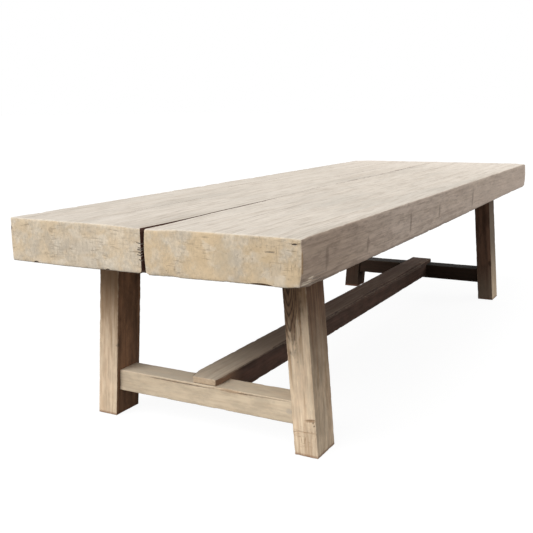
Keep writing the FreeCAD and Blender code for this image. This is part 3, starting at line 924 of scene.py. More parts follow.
def pull_tongues(piece, tongue_bottom, tip_left, tip_right):
    """Cuts the block level with the rails and pulls its upper end faces out to the tips."""
    bpy.ops.object.mode_set(mode="EDIT")
    bpy.ops.mesh.select_mode(type="FACE")
    bpy.ops.mesh.select_all(action="SELECT")
    bpy.ops.mesh.bisect(plane_co=(0, 0, tongue_bottom), plane_no=(0, 0, 1))
    for end, tip in ((-1, tip_left), (1, tip_right)):
        bpy.ops.mesh.select_all(action="DESELECT")
        bpy.ops.object.mode_set(mode="OBJECT")
        for face in piece.data.polygons:
            if face.normal.x * end > STRAIGHT_SHARE and face.center.z > tongue_bottom:
                face.select = True
                start = face.center.x
        bpy.ops.object.mode_set(mode="EDIT")
        bpy.ops.mesh.extrude_region_move(TRANSFORM_OT_translate={"value": (tip - start, 0, 0)})
    bpy.ops.mesh.select_all(action="DESELECT")
    bpy.ops.mesh.select_mode(type="EDGE")
    bpy.ops.mesh.edges_select_sharp(sharpness=SHARP_OVER)
    bpy.ops.mesh.bevel(offset=STRETCHER_ARRIS, segments=ARRIS_SEGMENTS, profile=ARRIS_PROFILE,
                       affect="EDGES")
    bpy.ops.object.mode_set(mode="OBJECT")


print("tongues: arrises of", STRETCHER_ARRIS, "m")

# %% Make the stretcher
STRETCHER_STEP = 0.006
NEAR_WANE = 0.006
FAR_WANE = 0.022
WANE_END = 0.07
# The near tongue's taper: how far in each side is at the tip, and which way its plane faces
BACK_IN = 0.0175
BACK_TAPER = (-0.227, 0.974, 0)
FRONT_IN = 0.007
FRONT_TAPER = (-0.17, -0.985, 0)
BACK_LIFT = (0, 0.001, 0.002)
BACK_REACH = (3.0, 0.05, 0.05)

low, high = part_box("stretcher")
shoulder_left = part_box("left_rail")[1].x
shoulder_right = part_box("right_rail")[0].x
tongue_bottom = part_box("left_rail")[1].z
body_low = Vector((shoulder_left, low.y, low.z))
body_high = Vector((shoulder_right, high.y, high.z))
stretcher = lay_block("stretcher_timber", body_low, body_high)
pull_tongues(stretcher, tongue_bottom, low.x, high.x)
cut_to_grid(stretcher, STRETCHER_STEP)
weigh_points(stretcher, "open", np.ones(len(stretcher.data.vertices)))
weigh_points(stretcher, "arris", arris_nearness(stretcher, LEG_REACH))
growth = (FAR_WANE - NEAR_WANE) / (high.x - low.x)
wane_ends = (shoulder_right - WANE_END, shoulder_right)
plane_off(stretcher, (low.x, low.y, high.z - NEAR_WANE), (growth, -1, 1), wane_ends)
plane_off(stretcher, (low.x, high.y - BACK_IN, 0), BACK_TAPER)
plane_off(stretcher, (low.x, low.y + FRONT_IN, 0), FRONT_TAPER)
push(stretcher, (0, high.y, high.z), BACK_LIFT, BACK_REACH)
wear(stretcher, (8, 1, 1), **BEAM_WEAR)
keep("stretcher", stretcher)

# %% [markdown]
# ## Short words for shaders
# Every finish is a tree of nodes. A few helpers keep those trees readable: each adds one node, feeds it with
# links or plain values, and hands back the socket that the next node needs.

# %% Helpers that each add one node
def feed(tree, value, socket):
    """Links another node's socket to an input, or sets the input to a plain value."""
    if isinstance(value, bpy.types.NodeSocket):
        tree.links.new(value, socket)
    else:
        socket.default_value = value


def calc(tree, operation, first, second=0.0, third=0.0, clamp=False):
    """One step of arithmetic."""
    made = tree.nodes.new("ShaderNodeMath")
    made.operation = operation
    made.use_clamp = clamp
    for value, socket in zip((first, second, third), made.inputs):
        feed(tree, value, socket)
    return made.outputs[0]


def vector_calc(tree, operation, first, second=(0, 0, 0)):
    """One step of vector arithmetic."""
    made = tree.nodes.new("ShaderNodeVectorMath")
    made.operation = operation
    feed(tree, first, made.inputs[0])
    feed(tree, second, made.inputs[1])
    return made.outputs["Value" if operation in ("LENGTH", "DOT_PRODUCT") else "Vector"]


def noise(tree, vector, stretch, detail=2.0, roughness=0.5, output="Fac"):
    """Noise that changes so many times a metre along X, Y and Z."""
    made = tree.nodes.new("ShaderNodeTexNoise")
    feed(tree, vector_calc(tree, "MULTIPLY", vector, stretch), made.inputs["Vector"])
    made.inputs["Scale"].default_value = 1.0
    made.inputs["Detail"].default_value = detail
    made.inputs["Roughness"].default_value = roughness
    return made.outputs[output]


def spread(tree, value, low, high, new_low=0.0, new_high=1.0):
    """A smooth step: new_low up to low, new_high from high on."""
    made = tree.nodes.new("ShaderNodeMapRange")
    made.interpolation_type = "SMOOTHSTEP"
    for one, socket in zip((value, low, high, new_low, new_high), made.inputs):
        feed(tree, one, socket)
    return made.outputs["Result"]


print("words: feed, calc, vector_calc, noise and spread")

# %% Mixes, ramps and groups
# A Mix node has sockets for each kind of value, and these are the ones for colours
MIX_SHARE = 0
MIX_FIRST = 6
MIX_SECOND = 7
MIX_RESULT = 2


def mix(tree, share, first, second, kind="MIX"):
    """Two colours mixed by a share."""
    made = tree.nodes.new("ShaderNodeMix")
    made.data_type = "RGBA"
    made.blend_type = kind
    feed(tree, share, made.inputs[MIX_SHARE])
    feed(tree, first, made.inputs[MIX_FIRST])
    feed(tree, second, made.inputs[MIX_SECOND])
    return made.outputs[MIX_RESULT]


def ramp(tree, value, stops):
    """A grey ramp through pairs of place and brightness."""
    made = tree.nodes.new("ShaderNodeValToRGB")
    feed(tree, value, made.inputs[0])
    points = made.color_ramp.elements
    while len(points) < len(stops):
        points.new(0.5)
    for point, (place, grey) in zip(points, stops):
        point.position = place
        point.color = (grey, grey, grey, 1)
    return made.outputs[0]


def new_group(name, inputs, outputs):
    """A node group with named sockets, and its two end nodes."""
    group = bpy.data.node_groups.new(name, "ShaderNodeTree")
    for in_out, sockets in (("INPUT", inputs), ("OUTPUT", outputs)):
        for socket, kind in sockets.items():
            group.interface.new_socket(name=socket, in_out=in_out, socket_type="NodeSocket" + kind)
    return group, group.nodes.new("NodeGroupInput").outputs, group.nodes.new("NodeGroupOutput").inputs


def use_group(tree, group, values):
    """Places a group in a tree and feeds its inputs by name."""
    made = tree.nodes.new("ShaderNodeGroup")
    made.node_tree = group
    for name, value in values.items():
        feed(tree, value, made.inputs[name])
    return made.outputs


print("words: mix, ramp, new_group and use_group")

# %% [markdown]
# ## Grain
# Wood is solid all through, so its figure is too: growth rings are cylinders about the tree's pith, bent a
# little along the trunk. Where a face cuts them lengthwise they show as long flames, with no picture to wrap.
# The group works in a space where X runs along the grain and the pith is the X axis. It gives the dark late
# wood of each ring, fine fibre, short strands, long streaks, mottling and broad patches.

# %% The timber grain group
GRAIN_OUTPUTS = {name: "Float" for name in ("Late wood", "Fibre", "Strand", "Streak", "Mottle", "Patch")}
RING_PROFILE = ((0, 0), (0.45, 0.10), (0.80, 1), (0.93, 0.6), (1, 0))
MIDDLE_GREY = (0.5, 0.5, 0.5)


def scaled(tree, vector, factor):
    """A vector times one number or socket."""
    made = tree.nodes.new("ShaderNodeVectorMath")
    made.operation = "SCALE"
    feed(tree, vector, made.inputs[0])
    feed(tree, factor, made.inputs["Scale"])
    return made.outputs["Vector"]


def shaken(tree, vector, stretch, reach):
    """A place moved about by noise, up to half a reach each way."""
    sway = noise(tree, vector, stretch, 3.0, 0.5, output="Color")
    either_way = vector_calc(tree, "SUBTRACT", sway, MIDDLE_GREY)
    return vector_calc(tree, "ADD", vector, scaled(tree, either_way, reach))


def timber_grain():
    """Rings, fibre, strands, streaks and patches of a timber whose grain runs along X."""
    group, given, wanted = new_group(
        "Timber grain",
        {"Vector": "Vector", "Ring width": "Float", "Wander": "Float", "Rise": "Float"},
        GRAIN_OUTPUTS,
    )
    place = given["Vector"]
    along = vector_calc(group, "DOT_PRODUCT", place, (1, 0, 0))
    risen_by = calc(group, "MULTIPLY", along, given["Rise"])
    risen = vector_calc(group, "ADD", place, scaled(group, (0, -1, 0), risen_by))
    bent = shaken(group, shaken(group, risen, (0.6, 2.6, 2.6), given["Wander"]), (5, 36, 36), 0.010)
    radius = vector_calc(group, "LENGTH", vector_calc(group, "MULTIPLY", bent, (0, 1, 1)))
    uneven = noise(group, place, (0.5, 18, 18), 2.0)
    turns = calc(group, "DIVIDE", radius, given["Ring width"])
    count = calc(group, "MULTIPLY_ADD", uneven, 1.6, turns)
    group.links.new(ramp(group, calc(group, "FRACT", count), RING_PROFILE), wanted["Late wood"])
    group.links.new(noise(group, place, (3.5, 135, 135), 4.0, 0.65), wanted["Fibre"])
    group.links.new(noise(group, place, (8, 88, 88), 3.0, 0.60), wanted["Strand"])
    group.links.new(noise(group, place, (0.8, 36, 36), 5.0, 0.62), wanted["Streak"])
    group.links.new(noise(group, place, (13, 34, 34), 4.0, 0.65), wanted["Mottle"])
    group.links.new(noise(group, place, (1.0, 5, 5), 3.0, 0.55), wanted["Patch"])
    return group


GRAIN = timber_grain()
print("group:", GRAIN.name)

# %% The timber colour group
def timber_colour():
    """The colour of the wood itself, between its pale early wood and its deep late wood."""
    group, given, wanted = new_group(
        "Timber colour",
        {**GRAIN_OUTPUTS, "Figure": "Float", "Pale": "Color", "Deep": "Color"},
        {"Colour": "Color"},
    )
    ringed = calc(group, "MULTIPLY", given["Late wood"], given["Figure"])
    streaked = calc(group, "MULTIPLY_ADD", given["Streak"], 1.4, -0.45)
    fibred = calc(group, "MULTIPLY_ADD", given["Fibre"], 1.6, -0.80)
    stranded = calc(group, "MULTIPLY_ADD", given["Strand"], 2.2, -1.00)
    lengthwise = calc(group, "ADD", calc(group, "ADD", streaked, fibred), stranded)
    tone = calc(group, "ADD", ringed, lengthwise, clamp=True)
    wood = mix(group, tone, given["Pale"], given["Deep"])
    shade = spread(group, given["Patch"], 0.25, 0.75, 0.90, 1.08)
    mottled = spread(group, given["Mottle"], 0.34, 0.66, 1.10, 0.88)
    shaded = calc(group, "MULTIPLY", shade, mottled)
    group.links.new(mix(group, 1.0, wood, shaded, "MULTIPLY"), wanted["Colour"])
    return group


COLOUR = timber_colour()
print("group:", COLOUR.name)

# %% [markdown]
# ## Weather
# Sun and scrubbing bleach what faces up and out, and an arris that is handled and knocked shows fresh, pale
# wood. These are shared groups: one washes a colour over the wood in streaks, one breaks the arris number up
# with noise, so that the wear comes and goes along the edge, and one gives a soft stain of any size and turn,
# whose rim is ragged.

# %% The weather groups
def weather_wash():
    """Washes a bleached or dark colour over the wood, thinner where the grain streaks."""
    group, given, wanted = new_group(
        "Weather wash",
        {"Colour": "Color", "Wash": "Color", "Amount": "Float", "Streak": "Float", "Strand": "Float"},
        {"Colour": "Color"},
    )
    broken = calc(group, "MULTIPLY_ADD", given["Streak"], -1.0, 1.40)
    finer = calc(group, "MULTIPLY_ADD", given["Strand"], -0.7, 0.35)
    share = calc(group, "MULTIPLY", given["Amount"], calc(group, "ADD", broken, finer), clamp=True)
    group.links.new(mix(group, share, given["Colour"], given["Wash"]), wanted["Colour"])
    return group


def arris_wear():
    """How far an arris is rubbed bare, broken up along its length."""
    group, given, wanted = new_group("Arris wear", {"Rough": "Float", "Arris": "Float"}, {"Worn": "Float"})
    worn = calc(group, "ADD", given["Arris"], calc(group, "MULTIPLY_ADD", given["Rough"], 0.9, -0.45))
    group.links.new(spread(group, worn, 0.62, 1.0), wanted["Worn"])
    return group


def stain_spot():
    """A soft spot with a ragged rim, stretched and turned."""
    group, given, wanted = new_group(
        "Stain spot",
        {"Vector": "Vector", "Place": "Vector", "Turn": "Vector", "Size": "Vector", "Rough": "Float"},
        {"Mask": "Float"},
    )
    fitted = group.nodes.new("ShaderNodeMapping")
    fitted.vector_type = "TEXTURE"
    group.links.new(given["Vector"], fitted.inputs["Vector"])
    group.links.new(given["Place"], fitted.inputs["Location"])
    group.links.new(given["Turn"], fitted.inputs["Rotation"])
    group.links.new(given["Size"], fitted.inputs["Scale"])
    distance = vector_calc(group, "LENGTH", fitted.outputs[0])
    ragged = calc(group, "MULTIPLY_ADD", given["Rough"], 1.4, calc(group, "SUBTRACT", distance, 0.7))
    group.links.new(spread(group, ragged, 0.35, 1.0, 1.0, 0.0), wanted["Mask"])
    return group


WASH = weather_wash()
WEAR = arris_wear()
STAIN = stain_spot()
print("groups:", WASH.name, WEAR.name, "and", STAIN.name)

# %% [markdown]
# ## Sawn ends
# The ends were sawn by hand and have been scrubbed since. No ring can be made out: what is left is soft
# patches, fine scratches that cross each other, and pits. The patches come from a smooth Voronoi texture that
# measures distance along the axes. Its coordinates are shaken first, so that no patch is round or square.

# %% The sawn marks group
SAWN_OUTPUTS = {name: "Float" for name in ("Patch", "Cloud", "Speck", "Lines", "Scratch", "Pit")}


def sawn_marks():
    """What old sawing leaves on an end: patches, soft clouds, specks, crossing scratches and pits."""
    group, given, wanted = new_group("Sawn marks", {"Vector": "Vector"}, SAWN_OUTPUTS)
    place = given["Vector"]
    cells = group.nodes.new("ShaderNodeTexVoronoi")
    cells.feature = "SMOOTH_F1"
    cells.distance = "CHEBYCHEV"
    cells.inputs["Scale"].default_value = 1.0
    cells.inputs["Smoothness"].default_value = 0.60
    uneven = shaken(group, place, (24, 24, 24), 0.05)
    feed(group, vector_calc(group, "MULTIPLY", uneven, (6, 24, 30)), cells.inputs["Vector"])
    patch = group.nodes.new("ShaderNodeSeparateColor")
    group.links.new(cells.outputs["Color"], patch.inputs[0])
    group.links.new(patch.outputs["Red"], wanted["Patch"])
    group.links.new(noise(group, place, (9, 11, 12), 5.0, 0.66), wanted["Cloud"])
    group.links.new(noise(group, place, (60, 105, 80), 4.0, 0.75), wanted["Speck"])
    level = spread(group, noise(group, place, (30, 24, 190), 3.0, 0.6), 0.52, 0.70)
    upright = spread(group, noise(group, place, (30, 190, 24), 3.0, 0.6), 0.54, 0.72)
    where = spread(group, noise(group, place, (8, 10, 12), 3.0, 0.6), 0.44, 0.62)
    lines = calc(group, "MAXIMUM", level, upright)
    group.links.new(lines, wanted["Lines"])
    group.links.new(calc(group, "MULTIPLY", lines, where), wanted["Scratch"])
    group.links.new(spread(group, noise(group, place, (85, 85, 85), 4.0, 0.7), 0.60, 0.72), wanted["Pit"])
    return group


SAWN = sawn_marks()
print("group:", SAWN.name)

# %% [markdown]
# ## One timber's finish
# Each timber has its own material, because its grain lies its own way and its pith is somewhere else. A
# Mapping node turns the grain on to X. What all timbers share is set up here: the coordinates, the facing of
# the surface, the arris number and the grain. Each timber then lays its own washes on and closes with the
# shader, whose roughness and bump come from the same grain.

# %% What every timber reads
def split_axes(tree, vector):
    """A vector's X, Y and Z as sockets of their own."""
    made = tree.nodes.new("ShaderNodeSeparateXYZ")
    tree.links.new(vector, made.inputs[0])
    return made.outputs


def point_number(tree, name):
    """The number that the points of a timber carry under one name."""
    made = tree.nodes.new("ShaderNodeAttribute")
    made.attribute_name = name
    return made.outputs["Fac"]


def grain_space(tree, place, pith, turn):
    """Places seen from the pith, with X along the grain."""
    made = tree.nodes.new("ShaderNodeMapping")
    made.vector_type = "TEXTURE"
    made.inputs["Location"].default_value = pith
    made.inputs["Rotation"].default_value = turn
    tree.links.new(place, made.inputs["Vector"])
    return made.outputs[0]


print("read: axes, the points' numbers and places along the grain")

# %% Open a timber material
STRAND_RELIEF = 0.6
STREAK_RELIEF = 0.4


def open_timber(name, pith, turn, pale, deep, ring, wander, figure, rise=0.0):
    """Starts a timber material and returns its tree and the sockets that its washes need."""
    material = bpy.data.materials.new(name)
    material.use_nodes = True
    tree = material.node_tree
    tree.nodes.clear()
    coordinates = tree.nodes.new("ShaderNodeTexCoord").outputs
    place = coordinates["Object"]
    grain = use_group(tree, GRAIN, {
        "Vector": grain_space(tree, place, pith, turn), "Ring width": ring, "Wander": wander, "Rise": rise,
    })
    figured = {kind: grain[kind] for kind in GRAIN_OUTPUTS}
    wood = use_group(tree, COLOUR, {**figured, "Figure": figure, "Pale": pale, "Deep": deep})
    rough = noise(tree, place, (38, 38, 38), 3.0, 0.6)
    worn = use_group(tree, WEAR, {"Rough": rough, "Arris": point_number(tree, "arris")})
    ridges = calc(tree, "MULTIPLY_ADD", grain["Late wood"], figure, grain["Fibre"])
    strands = calc(tree, "MULTIPLY_ADD", grain["Strand"], STRAND_RELIEF, ridges)
    return SimpleNamespace(
        material=material,
        tree=tree,
        object=place,
        place=split_axes(tree, place),
        facing=split_axes(tree, coordinates["Normal"]),
        rough=rough,
        worn=worn["Worn"],
        grain=grain,
        colour=wood["Colour"],
        relief=calc(tree, "MULTIPLY_ADD", grain["Streak"], STREAK_RELIEF, strands),
    )


print("timber materials: grain from", len(GRAIN_OUTPUTS), "patterns")

# %% Masks, washes and stains
NO_TURN = (0, 0, 0)
FACING_FROM = 0.45
FACING_FULL = 0.80


def looks(timber, axis, sign, start=FACING_FROM, full=FACING_FULL):
    """1 where the surface looks along one axis, towards + or -."""
    return spread(timber.tree, calc(timber.tree, "MULTIPLY", timber.facing[axis], sign), start, full)


def both(timber, first, second):
    """One mask inside another."""
    return calc(timber.tree, "MULTIPLY", first, second)


def either(timber, first, second):
    """Two masks together."""
    return calc(timber.tree, "MAXIMUM", first, second)


def spot(timber, place, size, turn=NO_TURN):
    """A mask that is one soft spot with a ragged rim."""
    made = use_group(timber.tree, STAIN, {
        "Vector": timber.object, "Place": place, "Turn": turn, "Size": size, "Rough": timber.rough,
    })
    return made["Mask"]


def wash(timber, amount, mask, colour):
    """Lays one wash over the timber's colour so far, thinner along the grain's streaks."""
    laid = use_group(timber.tree, WASH, {
        "Colour": timber.colour, "Wash": colour, "Amount": calc(timber.tree, "MULTIPLY", mask, amount),
        "Streak": timber.grain["Streak"], "Strand": timber.grain["Strand"],
    })
    timber.colour = laid["Colour"]


def tint(timber, amount, mask, colour, kind="MIX"):
    """Mixes one plain colour over the timber's colour so far."""
    share = calc(timber.tree, "MULTIPLY", mask, amount)
    timber.colour = mix(timber.tree, share, timber.colour, colour, kind)


def stain(timber, amount, colour, place, size, turn=NO_TURN):
    """Mixes one colour over a single soft spot."""
    tint(timber, amount, spot(timber, place, size, turn), colour)


print("masks: a face counts from a facing of", FACING_FROM)

# %% Close a timber material
GRAIN_BUMP = 0.0016
BUMP_STRENGTH = 0.5
ROUGHEST = 0.95
SHINE = 0.22


def close_timber(timber, least_rough, shine=SHINE):
    """Ends the material in a shader, rougher where the fibre stands up, with the grain as relief."""
    tree = timber.tree
    shader = tree.nodes.new("ShaderNodeBsdfPrincipled")
    output = tree.nodes.new("ShaderNodeOutputMaterial")
    bump = tree.nodes.new("ShaderNodeBump")
    tree.links.new(timber.relief, bump.inputs["Height"])
    bump.inputs["Strength"].default_value = BUMP_STRENGTH
    bump.inputs["Distance"].default_value = GRAIN_BUMP
    tree.links.new(bump.outputs[0], shader.inputs["Normal"])
    tree.links.new(timber.colour, shader.inputs["Base Color"])
    roughness = spread(tree, timber.grain["Fibre"], 0.2, 0.8, least_rough, ROUGHEST)
    tree.links.new(roughness, shader.inputs["Roughness"])
    shader.inputs["Specular IOR Level"].default_value = shine
    tree.links.new(shader.outputs[0], output.inputs["Surface"])
    return timber.material


print("relief of the grain:", GRAIN_BUMP, "m")

# %% [markdown]
# ## The slabs' finish
# The top is bleached to a grey cream with fine grey lines. The ends are a warmer tan, patchy and scratched,
# and each near end has smears of its own. The long side in the shade has gone grey brown and is mottled, most
# of all towards the near end, with a few pale torn fibres at its lower near corner; painted shade also makes
# it darker towards the near end and along its lower arris. The surface's own facing tells these apart. The
# joint faces and the underside have kept their dark skin, and painted shade darkens the joint faces and the
# wane below them inside the gap.

# %% Colour the sawn ends
SAWN_TAN = (0.75, 0.63, 0.475, 1)
SAWN_OCHRE = (0.66, 0.50, 0.31, 1)
SAWN_GREY = (0.53, 0.46, 0.37, 1)
SAWN_WHITE = (0.80, 0.72, 0.60, 1)
SCRATCH_BROWN = (0.34, 0.26, 0.18, 1)
OCHRE_SHARE = {"front_slab": 0.72, "back_slab": 0.12}


def lay_sawn_ends(timber, ochre_share):
    """Gives the ends tan, ochre and whitish patches, scratches and pits, and relief from the same marks."""
    tree = timber.tree
    endward = either(timber, looks(timber, "X", -1), looks(timber, "X", 1))
    marks = use_group(tree, SAWN, {"Vector": timber.object})
    grey = noise(tree, timber.object, (6, 7, 6), 4.0, 0.65)
    warm = mix(tree, ochre_share, SAWN_TAN, SAWN_OCHRE)
    colour = mix(tree, spread(tree, marks["Patch"], 0.20, 0.60, 0.42, 0.0), warm, SAWN_OCHRE)
    colour = mix(tree, spread(tree, marks["Patch"], 0.50, 0.95, 0.0, 0.46), colour, SAWN_WHITE)
    colour = mix(tree, spread(tree, marks["Cloud"], 0.46, 0.66, 0.0, 0.65), colour, SAWN_WHITE)
    colour = mix(tree, spread(tree, grey, 0.48, 0.66, 0.0, 0.50), colour, SAWN_GREY)
    flecks = both(timber, marks["Speck"], marks["Cloud"])
    colour = mix(tree, 1.0, colour, spread(tree, flecks, 0.12, 0.40, 1.15, 0.82), "MULTIPLY")
    colour = mix(tree, calc(tree, "MULTIPLY", marks["Scratch"], 0.60), colour, SCRATCH_BROWN)
    colour = mix(tree, calc(tree, "MULTIPLY", marks["Pit"], 0.45), colour, SCRATCH_BROWN)
    tint(timber, 0.97, endward, colour)
    sunk = calc(tree, "ADD", marks["Scratch"], marks["Pit"])
    uneven = calc(tree, "SUBTRACT", marks["Cloud"], calc(tree, "ADD", marks["Speck"], sunk))
    timber.relief = mix(tree, endward, timber.relief, uneven)


print("sawn ends: share of ochre", OCHRE_SHARE)

# %% Stain the near ends and the front side
SIDE_MOTTLE = (0.26, 0.19, 0.15, 1)
BAND_GREY = (0.58, 0.48, 0.345, 1)
ARRIS_OCHRE = (0.46, 0.28, 0.13, 1)
TORN_PALE = (0.98, 0.85, 0.68, 1)
FRONT_Y = -0.54
STAIN_REACH = 0.02
SIDE_REACH = 0.03
SMUDGE_HALF_WIDTH = 0.015
FIBRE_HALF_HEIGHT = 0.0034
ARRIS_INSET = 0.003
ARRIS_REACH = 0.008
ARRIS_HEIGHT = 0.705
ARRIS_HALF_HEIGHT = 0.080
SAW_LEAN = (0, math.radians(6), 0)
FIBRE_LEAN = (0, -0.05, 0)
# Smears on a near end: share, colour, y and z of the middle, half width, half height, and turn in degrees
END_SMEARS = {
    "front_slab": (
        (0.50, BAND_GREY, -0.290, 0.700, 0.045, 0.080, 0),
        (0.40, BAND_GREY, -0.400, 0.665, 0.022, 0.032, 0),
        (0.60, SAWN_OCHRE, -0.420, 0.712, 0.050, 0.040, 0),
        (0.45, SAWN_OCHRE, -0.211, 0.681, 0.030, 0.030, 0),
    ),
    "back_slab": (
        (0.42, SAWN_GREY, 0.375, 0.695, 0.022, 0.068, -18),
        (0.46, SAWN_GREY, 0.317, 0.681, 0.020, 0.062, 44),
        (0.32, SAWN_GREY, 0.236, 0.697, 0.020, 0.058, -58),
        (0.45, SCRATCH_BROWN, 0.364, 0.739, 0.014, 0.012, 0),
    ),
}
# The ochre along the outer near arris: share, y and half width
ARRIS_STAINS = {"front_slab": (0.60, -0.537, 0.0035), "back_slab": (0.55, 0.541, 0.0040)}
# Fibres torn pale at the front slab's lower near corner: x and z of the middle, and half the length
TORN_FIBRES = (
    (-1.505, 0.6400, 0.032),
    (-1.490, 0.6470, 0.036),
    (-1.480, 0.6540, 0.030),
)


def stain_near_end(timber, node):
    """The smears on a slab's near end, and the ochre that lines its outer arris."""
    for share, colour, y, z, half_width, half_height, turn in END_SMEARS[node]:
        size = (STAIN_REACH, half_width, half_height)
        stain(timber, share, colour, (near_x, y, z), size, (math.radians(turn), 0, 0))
    share, y, half_width = ARRIS_STAINS[node]
    place = (near_x + ARRIS_INSET, y, ARRIS_HEIGHT)
    stain(timber, share, ARRIS_OCHRE, place, (ARRIS_REACH, half_width, ARRIS_HALF_HEIGHT))


def stain_front_side(timber):
    """The front slab's smudged saw marks, and the pale fibres torn at its corner."""
    for x, z, half_height in SAW_MARKS:
        size = (SMUDGE_HALF_WIDTH, SIDE_REACH, half_height)
        stain(timber, 0.55, SIDE_MOTTLE, (x, FRONT_Y, z), size, SAW_LEAN)
    for x, z, half_length in TORN_FIBRES:
        size = (half_length, SIDE_REACH, FIBRE_HALF_HEIGHT)
        stain(timber, 0.80, TORN_PALE, (x, FRONT_Y, z), size, FIBRE_LEAN)


print("stains:", {node: len(smears) for node, smears in END_SMEARS.items()})

# %% Bleach the top
BLEACHED = (0.755, 0.685, 0.60, 1)
BLEACHED_GREY = (0.62, 0.57, 0.50, 1)
GRAIN_LINE = (0.45, 0.39, 0.325, 1)
TOP_LIGHT = (1.08, 1.08, 1.09, 1)
JOINT_DARK = (0.145, 0.062, 0.045, 1)


def joint_dashes(timber):
    """The broken arrises that show the joint as a row of dashes along the far half of the top."""
    tree = timber.tree
    close = spread(tree, point_number(tree, "open"), 0.05, 0.12, 1.0, 0.0)
    broken = spread(tree, noise(tree, timber.object, (11, 0, 0), 3.0, 0.6), 0.46, 0.56)
    begun = spread(tree, timber.place["X"], -0.12, -0.02)
    ended = spread(tree, timber.place["X"], 0.98, 1.10, 1.0, 0.0)
    return both(timber, both(timber, close, broken), both(timber, begun, ended))


def bleach_top(timber):
    """Grey cream with fine grey lines and specks, lighter at the far end, and the joint's dashes."""
    tree = timber.tree
    upward = looks(timber, "Z", 1)
    faded = mix(tree, spread(tree, timber.grain["Patch"], 0.42, 0.72), BLEACHED, BLEACHED_GREY)
    wash(timber, 0.96, upward, faded)
    fibres = spread(tree, timber.grain["Fibre"], 0.50, 0.68)
    tint(timber, 0.40, both(timber, upward, fibres), GRAIN_LINE)
    strands = spread(tree, timber.grain["Strand"], 0.50, 0.70)
    nearer = spread(tree, timber.place["X"], -1.2, 0.6, 0.36, 0.26)
    tint(timber, nearer, both(timber, upward, strands), GRAIN_LINE)
    specks = noise(tree, timber.object, (75, 120, 120), 4.0, 0.70)
    tint(timber, 1.0, upward, spread(tree, specks, 0.36, 0.64, 1.03, 0.95), "MULTIPLY")
    farthest = spread(tree, timber.place["X"], 0.5, 1.4)
    tint(timber, 1.0, both(timber, upward, farthest), TOP_LIGHT, "MULTIPLY")
    tint(timber, 0.80, joint_dashes(timber), JOINT_DARK)


print("top: bleached to", BLEACHED[:3])

# %% Age the long sides and paint their shade
SIDE_NEAR = (0.54, 0.405, 0.317, 1)
SIDE_FAR = (0.745, 0.610, 0.512, 1)


def age_and_shade_side(timber, sideward):
    """Grey brown, most mottled and most finely lined towards the near end, with painted shade that darkens it
    towards the near end and below.
    """
    tree = timber.tree
    # Painted shade: the side runs from a darker colour at the near end to a lighter one at the far end.
    aged_and_shaded = mix(tree, spread(tree, timber.place["X"], -1.45, -0.60), SIDE_NEAR, SIDE_FAR)
    wash(timber, 0.85, sideward, aged_and_shaded)
    mottle = spread(tree, noise(tree, timber.object, (18, 105, 105), 5.0, 0.70), 0.44, 0.66)
    fading = spread(tree, timber.place["X"], -1.2, 1.2, 0.46, 0.14)
    tint(timber, fading, both(timber, sideward, mottle), SIDE_MOTTLE)
    fibres = spread(tree, timber.grain["Fibre"], 0.50, 0.66)
    lined = spread(tree, timber.place["X"], -1.2, 1.2, 0.34, 0.10)
    tint(timber, lined, both(timber, sideward, fibres), SIDE_MOTTLE)
    clouded = noise(tree, timber.object, (4, 24, 24), 4.0, 0.65)
    tint(timber, 1.0, sideward, spread(tree, clouded, 0.35, 0.65, 1.08, 0.95), "MULTIPLY")
    # Painted shade: a dark line along the rounded lower arris.
    shaded_lower_arris = spread(tree, timber.place["Z"], under_z + 0.004, under_z + 0.015, 1.0, 0.0)
    tint(timber, 0.45, both(timber, sideward, shaded_lower_arris), SIDE_MOTTLE)


print("sides: from", SIDE_NEAR[:3], "to", SIDE_FAR[:3])

# %% Finish the slabs
SLAB_PALE = (0.66, 0.55, 0.43, 1)
SLAB_DEEP = (0.42, 0.32, 0.23, 1)
FRESH_ARRIS = (0.78, 0.69, 0.56, 1)
SLAB_PITH = {"front_slab": (0, -0.24, 0.42), "back_slab": (0, 0.31, 0.46)}
SLAB_TURN = (0, math.radians(0.6), math.radians(-0.4))
SQUARELY = (0.86, 0.98)


def keep_skin_and_shade_joint(timber, side):
    """Old dark skin on the joint face, along the wane below it and on the underside, with painted shade of
    the gap on the joint face and the wane.
    """
    jointward = looks(timber, "Y", -side)
    downward = looks(timber, "Z", -1)
    # Painted shade: the joint face and the wane below it are darkened for the shade inside the gap.
    tint(timber, 0.95, looks(timber, "Y", -side, *SQUARELY), JOINT_DARK)
    tint(timber, 0.95, both(timber, jointward, downward), JOINT_DARK)
    wash(timber, 0.80, downward, SIDE_MOTTLE)


def slab_finish(node, side):
    """Bleached on top, patchy tan on the sawn ends, grey brown on the long sides, dark underneath."""
    timber = open_timber(node, SLAB_PITH[node], SLAB_TURN, SLAB_PALE, SLAB_DEEP,
                         ring=0.011, wander=0.07, figure=0.25)
    tree = timber.tree
    sideward = looks(timber, "Y", side)
    lay_sawn_ends(timber, OCHRE_SHARE[node])
    bleach_top(timber)
    age_and_shade_side(timber, sideward)
    keep_skin_and_shade_joint(timber, side)
    if node == "front_slab":
        duller = spread(tree, timber.place["Y"], -0.45, -0.20, 0.93, 1.0)
        tint(timber, 1.0, looks(timber, "X", -1), duller, "MULTIPLY")
    stain_near_end(timber, node)
    if node == "front_slab":
        stain_front_side(timber)
    elsewhere = calc(tree, "SUBTRACT", 1.0, sideward)
    tint(timber, 0.55, both(timber, timber.worn, elsewhere), FRESH_ARRIS)
    return close_timber(timber, least_rough=0.72)


for node, side in SLAB_SIDES.items():
    timbers[node].data.materials.append(slab_finish(node, side))
    print("finish:", node)

